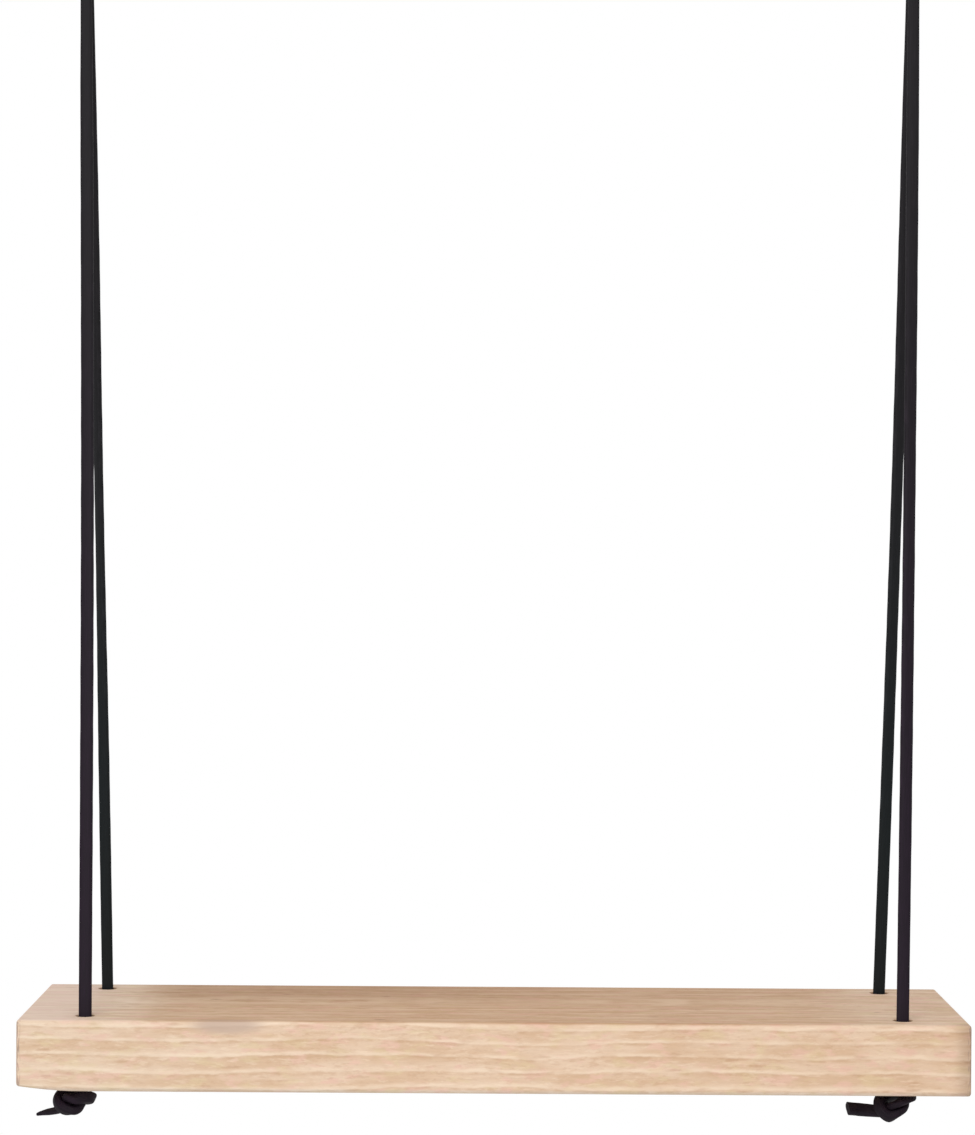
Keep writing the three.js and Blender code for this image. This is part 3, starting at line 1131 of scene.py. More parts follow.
class ShapeTree:
    """A Geometry Nodes tree with named inputs that shapes a piece and gives it its material."""

    def __init__(self, name: str, inputs: dict[str, str]) -> None:
        """Builds the tree.

        Args:
            name: The tree's name.
            inputs: The names of its inputs with their kinds. Geometry and Material come on their own.
        """
        self.tree = bpy.data.node_groups.new(name, "GeometryNodeTree")
        face = self.tree.interface
        face.new_socket("Geometry", in_out="INPUT", socket_type="NodeSocketGeometry")
        self.sockets = {
            key: face.new_socket(key, in_out="INPUT", socket_type=f"NodeSocket{kind}").identifier
            for key, kind in {**inputs, "Material": "Material"}.items()
        }
        face.new_socket("Geometry", in_out="OUTPUT", socket_type="NodeSocketGeometry")
        recipe = Recipe(self.tree)
        given = recipe.node("NodeGroupInput").outputs
        piece = recipe.node("GeometryNodeRealizeInstances", {0: self._lay_out(recipe, given)})
        piece = recipe.node("GeometryNodeSetMaterial", {
            "Geometry": piece.outputs[0], "Material": given["Material"]})
        recipe.node("NodeGroupOutput", {0: piece.outputs[0]})

    def _lay_out(self, recipe: Recipe, given: Outputs) -> Socket:
        """Lays out the nodes that build the shape.

        Args:
            recipe: The tree's recipe.
            given: Its inputs.

        Returns:
            The shape.
        """
        raise NotImplementedError

    def run(
        self, piece: bpy.types.Object, material: bpy.types.Material, **sizes: float | Vector,
    ) -> bpy.types.Object:
        """Lets the tree shape an object.

        Args:
            piece: The object.
            material: Its finish.
            **sizes: The tree's named inputs, with words joined by underscores.

        Returns:
            The same object as a plain mesh.
        """
        modifier = piece.modifiers.new(self.tree.name, "NODES")
        modifier.node_group = self.tree
        modifier[self.sockets["Material"]] = material
        for key, size in sizes.items():
            modifier[self.sockets[key.replace("_", " ").title()]] = size
        return outward(baked(piece))


class StrapSweep(ShapeTree):
    """Carries a soft-cornered section along a way."""

    just_past_end: float = 1.00001
    past_four_corners: float = 4.5

    def __init__(self) -> None:
        """Names the tree's inputs."""
        super().__init__("strap_sweep", {
            "Width": "Float", "Thickness": "Float", "Squareness": "Float", "Sides": "Int",
            "End Slant": "Float", "Slant From": "Float"})

    def _lay_out(self, recipe: Recipe, given: Outputs) -> Socket:
        """Sweeps the section, slants its cut end and smooths its sides.

        Args:
            recipe: The tree's recipe.
            given: Its inputs.

        Returns:
            The swept shape.
        """
        def stored(geometry: Value, name: str, value: Value, kind: str = "FLOAT") -> Socket:
            """Keeps a value on each point under a name."""
            return recipe.node("GeometryNodeStoreNamedAttribute", {
                "Geometry": geometry, "Name": name, "Value": value,
            }, data_type=kind, domain="POINT").outputs[0]

        def named(name: str, kind: str = "FLOAT") -> Socket:
            """Reads a value that each point keeps."""
            return recipe.node("GeometryNodeInputNamedAttribute", {"Name": name}, data_type=kind).outputs[0]

        way = recipe.node("GeometryNodeMeshToCurve", {0: given["Geometry"]}).outputs[0]
        way = recipe.node("GeometryNodeSetCurveNormal", {
            "Curve": way, "Normal": named("facing", "FLOAT_VECTOR")}, mode="FREE").outputs[0]
        run = recipe.node("GeometryNodeSplineParameter").outputs
        way = stored(way, "lace_along", run["Length"])
        way = stored(way, "way_share", run["Factor"])
        way = stored(way, "way_tangent", recipe.node("GeometryNodeInputTangent").outputs[0], "FLOAT_VECTOR")

        # A circle's two numbers, raised to a power below 1, square it off.
        ring = recipe.node("GeometryNodeCurvePrimitiveCircle", {
            "Resolution": given["Sides"], "Radius": 1.0}).outputs[0]
        power = recipe.maths("DIVIDE", 2.0, given["Squareness"])
        x, y, _ = recipe.split(recipe.node("GeometryNodeInputPosition").outputs[0])

        def squared(value: Value, size: Value = 2.0) -> Socket:
            """Squares one number off and brings it to half a size."""
            grown = recipe.maths("POWER", recipe.maths("ABSOLUTE", value), power)
            return recipe.product(grown, recipe.maths("SIGN", value), size, 0.5)

        ring = stored(ring, "lace_across", squared(y))
        ring = recipe.node("GeometryNodeSetPosition", {"Geometry": ring, "Position": recipe.joined(
            squared(x, given["Thickness"]), squared(y, given["Width"]), 0.0)}).outputs[0]
        swept = recipe.node("GeometryNodeCurveToMesh", {
            "Curve": way, "Profile Curve": ring, "Scale": named("girth"), "Fill Caps": True}).outputs[0]

        # A slanted cut leans the last stretch of rings more and more. The stretch is never quite nothing.
        run_out = recipe.maths("SUBTRACT", named("way_share"), given["Slant From"])
        stretch = recipe.maths("SUBTRACT", self.just_past_end, given["Slant From"])
        leaning = recipe.maths("DIVIDE", recipe.maths("MAXIMUM", run_out, 0.0), stretch)
        slant = recipe.product(named("lace_across"), given["End Slant"], given["Width"], leaning, 0.5)
        shift = recipe.node("ShaderNodeVectorMath", {
            0: named("way_tangent", "FLOAT_VECTOR"), "Scale": slant}, operation="SCALE").outputs[0]
        swept = recipe.node("GeometryNodeSetPosition", {"Geometry": swept, "Offset": shift}).outputs[0]

        # The sides' faces have four corners, and the caps have more.
        corners = recipe.node("GeometryNodeInputMeshFaceNeighbors").outputs["Vertex Count"]
        swept = recipe.node("GeometryNodeSetShadeSmooth", {
            "Geometry": swept, "Selection": recipe.maths("LESS_THAN", corners, self.past_four_corners),
        }, domain="FACE").outputs[0]
        for spare in ("way_share", "way_tangent", "facing", "girth"):
            swept = recipe.node("GeometryNodeRemoveAttribute", {"Geometry": swept, "Name": spare}).outputs[0]
        return swept

    def shape(
        self, name: str, stops: Sequence[Stop], material: bpy.types.Material,
        end_slant: float = 0.0, slant_from: float = 0.9, **sizes: float,
    ) -> bpy.types.Object:
        """Sweeps a section along a way.

        Args:
            name: The new object's name.
            stops: The way.
            material: Its finish.
            end_slant: How much the far end's cut leans.
            slant_from: The share of the way from which it leans.
            **sizes: The tree's other inputs, with words joined by underscores.

        Returns:
            The swept piece as a plain mesh.
        """
        mesh = bpy.data.meshes.new(name)
        mesh.from_pydata([stop.point for stop in stops], [(i, i + 1) for i in range(len(stops) - 1)], [])
        girths = mesh.attributes.new("girth", "FLOAT", "POINT")
        girths.data.foreach_set("value", [stop.girth for stop in stops])
        square = []
        for stop, along in zip(stops, headings(stops)):
            square.extend((stop.facing - along * stop.facing.dot(along)).normalized())
        facings = mesh.attributes.new("facing", "FLOAT_VECTOR", "POINT")
        facings.data.foreach_set("vector", square)
        return self.run(added(name, mesh), material, end_slant=end_slant, slant_from=slant_from, **sizes)


class ThreadSpiral(ShapeTree):
    """Winds a screw's thread, drawn in towards its point."""

    steps_a_turn: int = 28
    ridge_sides: int = 6
    least_radius: float = 0.08
    least_ridge: float = 0.05
    run_in: float = 12.0
    run_out: float = 9.0

    def __init__(self) -> None:
        """Names the tree's inputs."""
        super().__init__("screw_thread", {
            "Root Radius": "Float", "Ridge": "Float", "Turns": "Float", "Height": "Float", "Point": "Float",
            "Start": "Vector"})

    def _lay_out(self, recipe: Recipe, given: Outputs) -> Socket:
        """Winds the spiral, draws it in and sweeps the ridge along it.

        Args:
            recipe: The tree's recipe.
            given: Its inputs.

        Returns:
            The thread.
        """
        spiral = recipe.node("GeometryNodeCurveSpiral", {
            "Resolution": self.steps_a_turn, "Rotations": given["Turns"], "Height": given["Height"],
            "Start Radius": given["Root Radius"], "End Radius": given["Root Radius"]}).outputs[0]

        def kept(value: Value, least: float) -> Socket:
            """Keeps a share between a least one and 1."""
            return recipe.maths("MAXIMUM", recipe.maths("MINIMUM", value, 1.0), least)

        x, y, z = recipe.split(recipe.node("GeometryNodeInputPosition").outputs[0])
        left = recipe.maths("DIVIDE", recipe.maths("SUBTRACT", given["Height"], z), given["Point"])
        drawn = kept(left, self.least_radius)
        place = recipe.node("ShaderNodeVectorMath", {
            0: recipe.joined(recipe.product(x, drawn), recipe.product(y, drawn), z), 1: given["Start"]},
            operation="ADD").outputs[0]
        spiral = recipe.node("GeometryNodeSetPosition", {"Geometry": spiral, "Position": place}).outputs[0]
        spiral = recipe.node("GeometryNodeSetCurveNormal", {"Curve": spiral}, mode="Z_UP").outputs[0]
        section = recipe.node("GeometryNodeCurvePrimitiveCircle", {
            "Resolution": self.ridge_sides, "Radius": given["Ridge"]}).outputs[0]
        run = recipe.node("GeometryNodeSplineParameter").outputs["Factor"]
        rest = recipe.maths("SUBTRACT", 1.0, run)
        ends = recipe.maths("MINIMUM", recipe.product(run, self.run_in), recipe.product(rest, self.run_out))
        return recipe.node("GeometryNodeCurveToMesh", {
            "Curve": spiral, "Profile Curve": section, "Scale": kept(ends, self.least_ridge),
            "Fill Caps": True}).outputs[0]

    def shape(self, material: bpy.types.Material, **sizes: float | Vector) -> bpy.types.Object:
        """Winds a thread into a piece of its own."""
        return self.run(added("thread", bpy.data.meshes.new("thread")), material, **sizes)


@dataclass
class Plank:
    """The shelf board: every edge eased, drilled through near its four corners."""

    layout: Layout
    finish: PineFinish
    edge_round: float = 2.6 * MM
    end_round: float = 1.4 * MM
    chamfer: float = 0.8 * MM
    chamfer_steps: int = 4
    corner_steps: int = 8
    end_steps: int = 5
    lengths: int = 72
    hole_sides: int = 64
    rubbed_rise: float = 2.6 * MM
    rubbed_run: float = 30 * MM
    rubbed_power: float = 1.6
    sharp_degrees: float = 40.0

    def outline(self, inset: float) -> list[Span]:
        """Draws the plank's end, drawn in by an inset.

        Args:
            inset: How far inside the full outline it lies.

        Returns:
            The corners' places across the plank and in height, anticlockwise.
        """
        points = []
        half_y, half_z = self.layout.board_depth / 2, self.layout.board_thickness / 2
        radius = self.edge_round - inset
        for corner, (sign_y, sign_z) in enumerate(((1, 1), (-1, 1), (-1, -1), (1, -1))):
            for i in range(self.corner_steps + 1):
                angle = TURN / 4 * (corner + i / self.corner_steps)
                points.append((
                    sign_y * (half_y - self.edge_round) + radius * math.cos(angle),
                    sign_z * (half_z - self.edge_round) + radius * math.sin(angle)))
        return points

    def lift(self, x: float, y: float, z: float) -> float:
        """Finds how far the lower front edge is rubbed up near the left end.

        Args:
            x: The place along the plank.
            y: The place across it.
            z: The height over its middle.

        Returns:
            The lift there, which is nothing at the back and at the top.
        """
        half = self.layout.board_length / 2
        near = max(0.0, 1 - (x + half) / self.rubbed_run)
        return self.rubbed_rise * near**self.rubbed_power if y < 0 > z else 0.0

    def block(self) -> bpy.types.Object:
        """Builds the plank without its holes."""
        half = self.layout.board_length / 2
        ends = [(-half + self.end_round * (1 - cosine), self.end_round * (1 - sine))
                for cosine, sine in quarter(self.end_steps)]
        inner = [(-half + self.end_round + (2 * half - 2 * self.end_round) * i / self.lengths, 0.0)
                 for i in range(1, self.lengths)]
        way = ends + inner + [(-x, inset) for x, inset in reversed(ends)]
        shape = bmesh.new()
        rings = [[shape.verts.new((x, y, z + self.lift(x, y, z) + self.layout.board_middle_z))
                  for y, z in self.outline(inset)] for x, inset in way]
        bridged(shape, rings)
        for cap in (rings[0], rings[-1]):
            shape.faces.new(cap)
        bmesh.ops.recalc_face_normals(shape, faces=shape.faces)
        return solid("plank", shape)

    def drills(self) -> bpy.types.Object:
        """Builds what the four holes take away, each with an eased mouth on both faces."""
        radius, half = self.layout.hole_radius, self.layout.board_thickness / 2
        over = 1 * MM
        upper = [(radius + self.chamfer * (1 - cosine), half - self.chamfer * (1 - sine))
                 for cosine, sine in quarter(self.chamfer_steps)]
        upper += [(upper[-1][0], half + over), (0.0, half + over)]
        profile = [(r, -z) for r, z in reversed(upper)] + upper
        places = [Vector((sx * self.layout.hole_x, sy * self.layout.hole_y, self.layout.board_middle_z))
                  for sx in (-1, 1) for sy in (-1, 1)]
        return turned("drills", profile, self.hole_sides, places)

    def make(self) -> bpy.types.Object:
        """Builds, drills and finishes the plank.

        Returns:
            The plank, which rides on the body board.
        """
        plank, drills = self.block(), self.drills()
        cut = plank.modifiers.new("holes", "BOOLEAN")
        cut.operation, cut.solver, cut.object = "DIFFERENCE", "EXACT", drills
        baked(plank)
        bpy.data.objects.remove(drills)
        plank.data.shade_smooth()
        plank.data.set_sharp_from_angle(angle=math.radians(self.sharp_degrees))
        weigh = plank.modifiers.new("even", "WEIGHTED_NORMAL")
        weigh.keep_sharp = True
        baked(plank)
        plank.data.materials.clear()
        plank.data.materials.append(self.finish.material())
        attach(plank, "board")
        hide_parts("board")
        return plank


@dataclass(frozen=True)
class DrawUp:
    """How a knot is drawn up to the plank: how much, how far left of its hole it begins and over what run."""

    most: float = 0.0
    before: float = 0.0
    run: float = 1.0


@dataclass
class OverhandKnot:
    """An overhand knot under the plank, and the stretch of lace that stands in its hole."""

    layout: Layout
    side: Side
    row: Row
    spin_degrees: float
    tilt_degrees: Span
    wind: Span
    tail: float
    heading: Triple
    slant: float
    splay: float = 1.0
    draw: DrawUp = DrawUp()
    ring_share: float = 0.727
    lay_share: float = 0.283
    rise_share: float = 0.424
    below_top: float = 2.4 * MM
    squareness: float = 3.2
    sides: int = 28
    swell: float = 1.7 * MM
    apart_widths: float = 2.0
    cut_share: float = 0.7
    steps: int = 42
    fine_steps: int = 126
    around: int = 12
    lead_steps: int = 8
    tail_steps: int = 4
    step: float = 0.55 * MM
    passes: int = 10

    @property
    def name(self) -> str:
        """The CAD node that the knot stands for."""
        return f"{self.side.name.lower()}_{self.row.name.lower()}_knot"

    def coil(self, steps: int) -> list[Stop]:
        """Winds the lay: three times over itself for every two times round.

        Args:
            steps: How many steps the winding takes.

        Returns:
            The knot's own winding, before it is seated.
        """
        girth = self.layout.lace_width + self.layout.lace_thickness
        ring, lay, rise = (share * girth for share in (self.ring_share, self.lay_share, self.rise_share))
        tilt_x, tilt_y = (math.radians(angle) for angle in self.tilt_degrees)
        lie = Matrix.Rotation(tilt_x, 3, "X") @ Matrix.Rotation(tilt_y, 3, "Y")
        lie = lie @ Matrix.Rotation(math.radians(self.spin_degrees), 3, "Z")
        first, last = self.wind
        stops = []
        for i in range(steps + 1):
            wound = TURN * (first + (last - first) * i / steps)
            over = TURN / 2 + 3 * wound
            outward_way = Vector((math.cos(-2 * wound), math.sin(-2 * wound), 0))
            point = outward_way * (ring + lay * math.cos(over)) + Vector((0, 0, rise * math.sin(over)))
            facing = outward_way * (rise * math.cos(over)) + Vector((0, 0, lay * math.sin(over)))
            stops.append(Stop(lie @ point, lie @ facing.normalized()))
        return stops

    def crown(self, coil: Sequence[Stop]) -> float:
        """Finds the highest point of the winding's surface."""
        half_width, half_thickness = self.layout.lace_width / 2, self.layout.lace_thickness / 2
        power = 2 / self.squareness
        high = -math.inf
        for stop, along in zip(coil, headings(coil)):
            across = stop.facing.cross(along).normalized()
            through = along.cross(across)
            for k in range(self.around):
                u, v = math.cos(TURN * k / self.around), math.sin(TURN * k / self.around)
                u = math.copysign(abs(u) ** power, u) * half_width
                v = math.copysign(abs(v) ** power, v) * half_thickness
                high = max(high, (stop.point + across * u + through * v).z)
        return high

    def stops(self) -> list[Stop]:
        """Leads the lace down its hole, through the knot and out along its tail."""
        layout = self.layout
        coarse = self.coil(self.steps)
        seat = Vector((coarse[0].point.x, coarse[0].point.y, self.crown(coarse) + layout.touch))
        coil = [Stop(stop.point - seat, stop.facing) for stop in self.coil(self.fine_steps)]
        entry, leave = coil[0], coil[-1]
        flat = Vector((0, math.copysign(1, entry.facing.y), 0))
        lead = [Stop(Vector((0, 0, layout.board_thickness - self.below_top)), flat)]
        for i in range(self.lead_steps):
            share = i / self.lead_steps
            lead.append(Stop(entry.point * share, flat.lerp(entry.facing, share).normalized()))
        leaving = (leave.point - coil[-2].point).normalized()
        heading = Vector(self.heading).normalized()
        tail, place = [], leave.point.copy()
        for i in range(1, self.tail_steps + 1):
            share = i / self.tail_steps
            place = place + leaving.lerp(heading, share).normalized() * (self.tail / self.tail_steps)
            tail.append(Stop(place, leave.facing, 1 + (self.splay - 1) * share))
        origin = layout.mouth(self.side, self.row) - Vector((0, 0, layout.board_thickness))
        way = smoothed(divided(lead + coil + tail, self.step), self.passes)
        return [Stop(stop.point + origin, stop.facing, stop.girth) for stop in way]

    def draw_up(self, knot: bpy.types.Object) -> None:
        """Draws the knot up against the plank, the more the further right it lies."""
        seat = self.layout.board_under_z - self.layout.touch
        start = self.side.value * self.layout.hole_x - self.draw.before
        for vertex in knot.data.vertices:
            depth = seat - vertex.co.z
            if depth > 0:
                pull = self.draw.most * eased((vertex.co.x - start) / self.draw.run)
                vertex.co.z = seat - depth * depth / (depth + pull)

    def make(self, sweep: StrapSweep, material: bpy.types.Material) -> bpy.types.Object:
        """Builds the knot.

        Args:
            sweep: The tree that sweeps the lace's section.
            material: The lace's finish.

        Returns:
            The knot, which rides on the body board.
        """
        stops = self.stops()
        knot = sweep.shape(
            f"{self.name}_tied", stops, material, width=self.layout.lace_width,
            thickness=self.layout.lace_thickness, squareness=self.squareness, sides=self.sides,
            end_slant=-self.slant, slant_from=1 - self.cut_share * self.tail / length_of(stops))
        pressed(knot, apart=self.apart_widths * self.layout.lace_width, reach=self.swell)
        self.draw_up(knot)
        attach(knot, "board")
        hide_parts(self.name)
        return knot


@dataclass(frozen=True)
class Hang:
    """How one leg of a lace hangs: how it twists, how wide it has worn and how it bows aside."""

    twist_degrees: float
    girth: float
    bow: float


@dataclass
class Lace:
    """One lace: up from its front hole, over the hook's wire and down into its back hole."""

    layout: Layout
    side: Side
    hangs: dict[Row, Hang]
    dip: float = 2.3 * MM
    step: float = 3 * MM
    bend_steps: int = 32
    squareness: float = 3.2
    sides: int = 24
    uneven: float = 0.022
    ease_share: float = 0.12
    waves: Span = (47 * MM, 19 * MM)

    def leg(self, row: Row) -> list[Stop]:
        """Lays one leg from the hook down to its hole.

        Args:
            row: The leg's row.

        Returns:
            Its stops, from the top down.
        """
        layout, hang = self.layout, self.hangs[row]
        top = Vector((self.side.value * layout.hook_x, row.value * layout.flex_y, layout.flex_z))
        mouth = layout.mouth(self.side, row)
        down = (mouth - top).normalized()
        end = mouth + down * self.dip
        count = round((end - top).length / self.step)
        stops = []
        for i in range(count + 1):
            share = i / count
            arch = math.sin(TURN / 2 * share)
            twist = Matrix.Rotation(math.radians(hang.twist_degrees) * arch**2, 3, down)
            facing = twist @ Vector((0, row.value, 0))
            # The twist also makes each leg's unevenness start at a place of its own.
            run = share * (end - top).length + hang.twist_degrees * MM
            swell = self.uneven * sum(math.sin(TURN * run / wave) for wave in self.waves) / 2
            girth = 1 + (hang.girth - 1) * eased(share / self.ease_share) + swell * arch**0.5
            stops.append(Stop(top.lerp(end, share) + Vector((hang.bow * arch, 0, 0)), facing, girth))
        return stops

    def stops(self) -> list[Stop]:
        """Joins the front leg, the bend round the wire and the back leg."""
        layout = self.layout
        front, back = TURN / 2 - layout.leg_lean, layout.leg_lean
        bend = []
        for i in range(self.bend_steps + 1):
            angle = front + (back - front) * i / self.bend_steps
            way = Vector((0, math.cos(angle), math.sin(angle)))
            centre = Vector((self.side.value * layout.hook_x, 0, layout.wire_z))
            bend.append(Stop(centre + way * layout.wrap_radius, way))
        return [*reversed(self.leg(Row.FRONT)), *bend, *self.leg(Row.BACK)]

    def make(
        self, sweep: StrapSweep, material: bpy.types.Material, knots: Sequence[bpy.types.Object],
    ) -> bpy.types.Object:
        """Args:
            sweep: The tree that sweeps the lace's section.
            material: The lace's finish.
            knots: The lace's own two knots. Not used.

        Returns:
            The lace.
        """
        name = self.side.name.lower()
        layout = self.layout
        stops = self.stops()
        lace = sweep.shape(
            f"{name}_lace", stops, material, width=layout.lace_width, thickness=layout.lace_thickness,
            squareness=self.squareness, sides=self.sides)
        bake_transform(lace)
        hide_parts(f"{name}_bend", f"{name}_front_leg", f"{name}_back_leg")
        length = length_of(stops)
        layout.mouth(self.side, Row.FRONT)
        log.info("%s: %.3f m from hole to hole", lace.name, length)
        return lace


@dataclass
class ScrewHook:
    """A screw hook: threaded shank, collar, neck, open eye and turned-out lip."""

    layout: Layout
    side: Side
    lip: float = 3 * MM
    collar_radius: float = 7.5 * MM
    collar_round: float = 0.9 * MM
    shank_radius: float = 1.9 * MM
    shank_length: float = 18 * MM
    shank_point: float = 5 * MM
    thread: float = 0.42 * MM
    thread_turns: float = 9.0
    thread_start: float = 2.6 * MM
    thread_end: float = 3 * MM
    point_knee: float = 0.55
    dish_share: float = 0.42
    bead: float = 0.3 * MM
    eye_end_share: float = -0.525
    lip_share: float = 0.36
    tip_girth: float = 0.03
    eye_steps: int = 90
    neck_steps: int = 12
    round_steps: int = 6
    step: float = 0.5 * MM
    passes: int = 12
    sides: int = 24
    collar_sides: int = 48
    sharp_degrees: float = 50.0

    def wire(self) -> list[Stop]:
        """Bends the wire from its collar to the tip of its lip."""
        layout = self.layout
        facing = Vector((0, 1, 0))

        def at(x: float, z: float, radius: float = 0.0, angle: float = 0.0) -> Stop:
            """Sets a stop in the hook's own plane, on an arc round a middle."""
            return Stop(Vector((x + radius * math.cos(angle), 0, z + radius * math.sin(angle))), facing)

        lean = math.asin(layout.neck_radius / (layout.eye_radius + layout.neck_radius))
        stops = [at(0, -layout.collar_height / 2), at(0, layout.neck_end_z)]
        for i in range(1, self.neck_steps):
            angle = TURN / 2 + (TURN / 4 - lean) * i / self.neck_steps
            stops.append(at(layout.neck_radius, layout.neck_end_z, layout.neck_radius, angle))
        start = TURN / 4 - lean
        for i in range(self.eye_steps + 1):
            angle = start + (self.eye_end_share * TURN - start) * i / self.eye_steps
            stops.append(at(0, layout.eye_z, layout.eye_radius, angle))
        out = Vector((math.cos(self.lip_share * TURN), 0, math.sin(self.lip_share * TURN)))
        stops.append(Stop(stops[-1].point + out * self.lip, facing))
        way = smoothed(divided(stops, self.step), self.passes)
        end, heading = way[-1].point, (way[-1].point - way[-2].point).normalized()
        for cosine, sine in quarter(self.round_steps)[1:]:
            way.append(Stop(end + heading * (layout.wire / 2 * sine), facing, max(cosine, self.tip_girth)))
        return way

    def collar(self) -> bpy.types.Object:
        """Turns the collar: a flat dish with a rounded rim and a fine bead against the ceiling."""
        height, rim = self.layout.collar_height, self.collar_round
        profile = [(0.0, -height), (self.dish_share * self.collar_radius, -height)]
        profile += [(self.collar_radius - rim * (1 - sine), -height + rim * (1 - cosine))
                    for cosine, sine in quarter(self.round_steps)]
        profile += [(self.collar_radius, -self.bead), (self.collar_radius - self.bead, 0.0), (0.0, 0.0)]
        return turned("collar", profile, self.collar_sides)

    def shank(self) -> bpy.types.Object:
        """Turns the shank, which ends in a point."""
        core, straight = self.shank_radius - self.thread, self.shank_length - self.shank_point
        foot, knee = -self.layout.collar_height / 2, self.point_knee
        return turned("shank", [
            (0.0, foot), (core, foot), (core, straight), (core * knee, straight + knee * self.shank_point),
            (0.0, self.shank_length)], self.sides)

    def make(self, sweep: StrapSweep, spiral: ThreadSpiral, material: bpy.types.Material) -> bpy.types.Object:
        """Builds the hook and stands it for its CAD node.

        Args:
            sweep: The tree that sweeps the wire's section.
            spiral: The tree that winds the thread.
            material: The plating.

        Returns:
            The hook, which rides on the body hooks.
        """
        layout = self.layout
        wire = sweep.shape(
            "wire", self.wire(), material, width=layout.wire, thickness=layout.wire, squareness=2.0,
            sides=self.sides)
        collar, shank = self.collar(), self.shank()
        thread = spiral.shape(
            material, root_radius=self.shank_radius - self.thread, ridge=self.thread, turns=self.thread_turns,
            height=self.shank_length - self.thread_end, point=self.shank_point,
            start=Vector((0, 0, self.thread_start)))
        for piece in (collar, shank):
            piece.data.materials.append(material)
            piece.data.set_sharp_from_angle(angle=math.radians(self.sharp_degrees))
        thread.data.shade_smooth()
        hook = merged(f"{self.side.name.lower()}_screw_hook", [wire, collar, shank, thread])
        turn = Matrix.Rotation(TURN / 2 if self.side is Side.RIGHT else 0.0, 4, "Z")
        hook.data.transform(Matrix.Translation((self.side.value * layout.hook_x, 0, 0)) @ turn)
        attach(hook, "hooks")
        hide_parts(f"{self.side.name.lower()}_hook")
        return hook


@dataclass
class PhotoCamera:
    """The photograph's camera, worked out from the plank's corners, the holes and the laces."""

    place: Triple = (-8.2 * MM, -1781.82 * MM, -330.3 * MM)
    pitch_degrees: float = -0.589
    yaw_degrees: float = 0.105
    roll_degrees: float = 0.363
    focal_pixels: float = 3226.3
    long_side_pixels: float = 1135.0
    sensor: float = 36.0
    clip: Span = (0.05, 30.0)

    def make(self) -> bpy.types.Object:
        """Makes the scene's camera."""
        pitch, yaw, roll = map(math.radians, (self.pitch_degrees, self.yaw_degrees, self.roll_degrees))
        ahead = Vector((math.sin(yaw) * math.cos(pitch), math.cos(yaw) * math.cos(pitch), math.sin(pitch)))
        right = Vector((math.cos(yaw), -math.sin(yaw), 0))
        up = right.cross(ahead)
        right, up = (
            right * math.cos(roll) + up * math.sin(roll), up * math.cos(roll) - right * math.sin(roll))
        lens = bpy.data.cameras.new("photo_camera")
        lens.sensor_width = self.sensor
        lens.lens = self.sensor * self.focal_pixels / self.long_side_pixels
        lens.clip_start, lens.clip_end = self.clip
        camera = bpy.data.objects.new("photo_camera", lens)
        bpy.context.scene.collection.objects.link(camera)
        turn = Matrix((right, up, -ahead)).transposed().to_4x4()
        camera.matrix_world = Matrix.Translation(self.place) @ turn
        bpy.context.scene.camera = camera
        return camera


@dataclass(frozen=True)
class Lamp:
    """A soft light: where it stands, its width and height, and its power."""

    name: str
    place: Triple
    size: Span
    watts: float


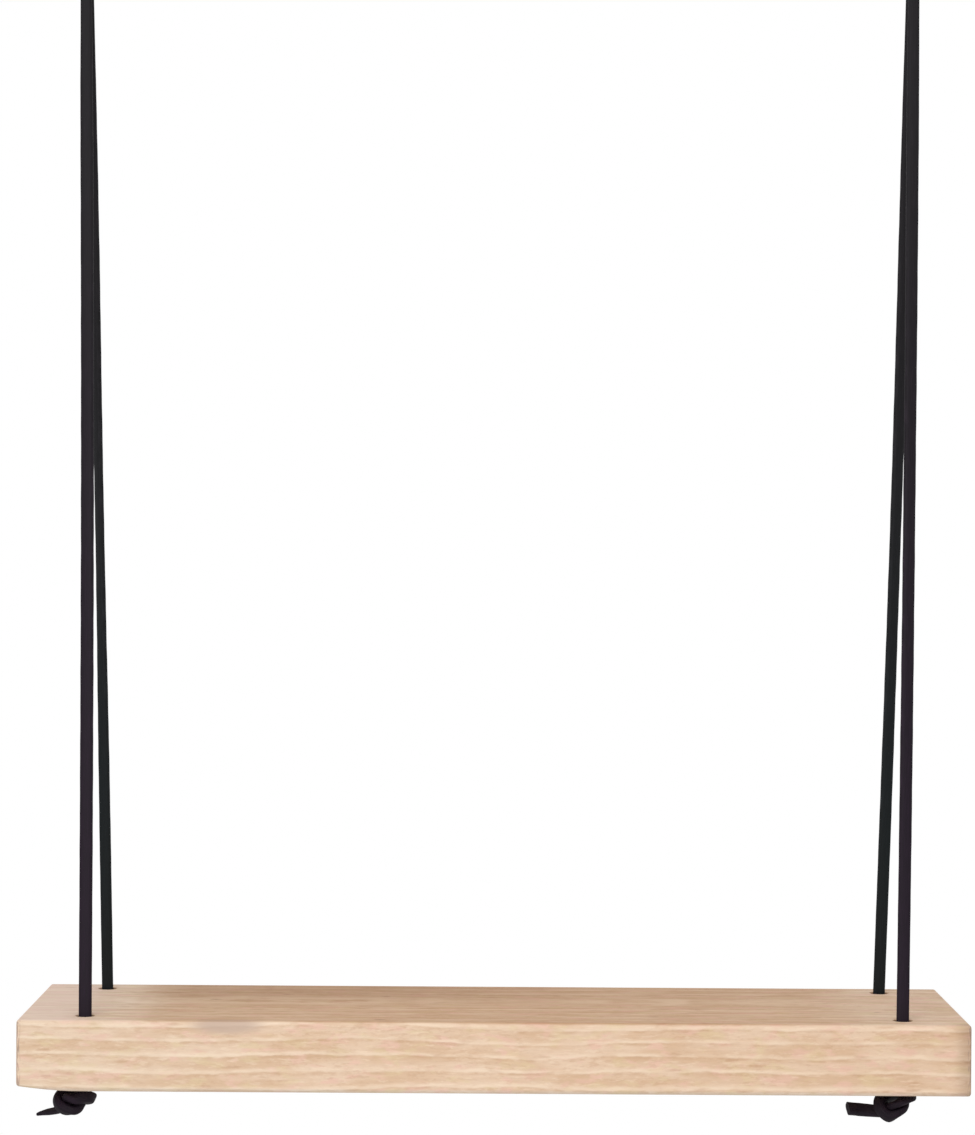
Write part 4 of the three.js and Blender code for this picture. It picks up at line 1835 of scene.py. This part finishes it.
@dataclass
class Studio:
    """A pale floor, a white surround and two large soft lights, from the front and from above."""

    layout: Layout
    floor_drop: float = 0.55
    floor_half: float = 2.4
    floor_tones: tuple[Colour, Colour] = (linear(232, 231, 228), linear(240, 239, 237))
    floor_cloud_scale: float = 1.5
    floor_rough: float = 0.9
    surround: float = 0.62
    lamps: tuple[Lamp, ...] = (
        Lamp("key", (-0.55, -2.35, 0.25), (1.5, 1.2), 23.0), Lamp("sky", (-0.25, -0.5, 1.3), (1.3, 1.3), 7.0))
    aim_share: float = 0.7

    def floor(self) -> None:
        """Lays the floor well below the shelf."""
        material = bpy.data.materials.new("pale_floor")
        material.use_nodes = True
        recipe = Recipe(material.node_tree)
        shader = material.node_tree.nodes["Principled BSDF"]
        place = recipe.node("ShaderNodeTexCoord").outputs["Object"]
        cloud = recipe.noise(place, self.floor_cloud_scale)
        recipe.feed(shader.inputs["Base Color"], recipe.tint(cloud, *self.floor_tones))
        shader.inputs["Roughness"].default_value = self.floor_rough
        half, z = self.floor_half, self.layout.board_under_z - self.floor_drop
        corners = [(sx * half, sy * half, z) for sx, sy in ((-1, -1), (1, -1), (1, 1), (-1, 1))]
        mesh = bpy.data.meshes.new("floor")
        mesh.from_pydata(corners, [], [range(len(corners))])
        mesh.materials.append(material)
        added("floor", mesh)

    def surrounding(self) -> None:
        """Sets a white surround that lights the shelf less than it shows."""
        world = bpy.data.worlds.new("studio")
        world.use_nodes = True
        world.node_tree.nodes.clear()
        recipe = Recipe(world.node_tree)
        white = (1.0, 1.0, 1.0, 1.0)
        felt, seen = (
            recipe.node("ShaderNodeBackground", {"Color": white, "Strength": strength}).outputs[0]
            for strength in (self.surround, 1.0))
        share = recipe.node("ShaderNodeLightPath").outputs["Is Camera Ray"]
        mixed = recipe.node("ShaderNodeMixShader", {0: share, 1: felt, 2: seen}).outputs[0]
        recipe.node("ShaderNodeOutputWorld", {0: mixed})
        bpy.context.scene.world = world

    def light(self, lamp: Lamp) -> None:
        """Sets a soft light that looks at the shelf."""
        light = bpy.data.lights.new(lamp.name, "AREA")
        light.shape, light.size, light.size_y, light.energy = "RECTANGLE", *lamp.size, lamp.watts
        stand = bpy.data.objects.new(lamp.name, light)
        bpy.context.scene.collection.objects.link(stand)
        place = Vector(lamp.place)
        towards = Vector((0, 0, self.layout.board_middle_z * self.aim_share)) - place
        stand.matrix_world = Matrix.Translation(place) @ towards.to_track_quat("-Z", "Y").to_matrix().to_4x4()

    def make(self) -> None:
        """Sets the floor, the surround and the lights."""
        self.floor()
        self.surrounding()
        for lamp in self.lamps:
            self.light(lamp)
        view = bpy.context.scene.view_settings
        view.view_transform, view.look = "Standard", "None"


@dataclass
class HangingShelf:
    """The whole shelf: plank, two laces with four knots, and two hooks."""

    layout: Layout = field(default_factory=Layout)

    def knots(self, side: Side) -> list[OverhandKnot]:
        """Says how each of a lace's two knots is tied.

        Args:
            side: The lace's side.

        Returns:
            Its front and back knots.
        """
        if side is Side.LEFT:
            return [
                OverhandKnot(
                    self.layout, side, Row.FRONT, spin_degrees=-30, tilt_degrees=(11, -8),
                    wind=(-0.06, 0.716), tail=16.5 * MM, heading=(-1, 0.26, -0.17), slant=-1.3, splay=0.7,
                    draw=DrawUp(3 * MM, 5 * MM, 11 * MM)),
                OverhandKnot(
                    self.layout, side, Row.BACK, spin_degrees=0, tilt_degrees=(20, 0), wind=(-0.03, 0.69),
                    tail=12 * MM, heading=(-1, -0.2, -0.2), slant=0.3)]
        return [
            OverhandKnot(
                self.layout, side, Row.FRONT, spin_degrees=-5, tilt_degrees=(33, -11), wind=(-0.03, 0.726),
                tail=21 * MM, heading=(-1, -0.19, 0.12), slant=0.1, splay=1.22,
                draw=DrawUp(8 * MM, 9 * MM, 15 * MM)),
            OverhandKnot(
                self.layout, side, Row.BACK, spin_degrees=-45, tilt_degrees=(0, 15), wind=(-0.03, 0.69),
                tail=15 * MM, heading=(-1, 0.3, 0.1), slant=-0.2)]

    def make(self) -> None:
        """Builds every piece in order and logs each."""
        sweep, spiral = StrapSweep(), ThreadSpiral()
        lace, steel = LaceFinish().material(), PlatedSteelFinish().material()
        hangs = {
            Side.LEFT: {
                Row.FRONT: Hang(twist_degrees=12.0, girth=1.11, bow=0.9 * MM),
                Row.BACK: Hang(twist_degrees=54.0, girth=1.01, bow=0.6 * MM)},
            Side.RIGHT: {
                Row.FRONT: Hang(twist_degrees=-20.0, girth=1.07, bow=0.6 * MM),
                Row.BACK: Hang(twist_degrees=-32.0, girth=1.06, bow=0.8 * MM)},
        }
        for side in Side:
            tied = [knot.make(sweep, lace) for knot in self.knots(side)]
            made = Lace(self.layout, side, hangs[side]).make(sweep, lace, tied)
            report(*tied, made)
        report(Plank(self.layout, PineFinish(layout=self.layout)).make())
        for side in Side:
            report(ScrewHook(self.layout, side).make(sweep, spiral, steel))


def report(*pieces: bpy.types.Object) -> None:
    """Logs the name and the size of finished pieces."""
    for piece in pieces:
        faces = sum(len(face.vertices) - 2 for face in piece.data.polygons)
        log.info("%s: %d triangles", piece.name, faces)


def main() -> None:
    """Builds the camera, the shelf and the studio."""
    logging.basicConfig(level=logging.INFO, format="%(name)s: %(message)s", force=True)
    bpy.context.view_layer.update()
    PhotoCamera().make()
    layout = Layout()
    HangingShelf(layout).make()
    Studio(layout).make()
    bpy.context.view_layer.update()


if __name__ == "__main__":
    main()
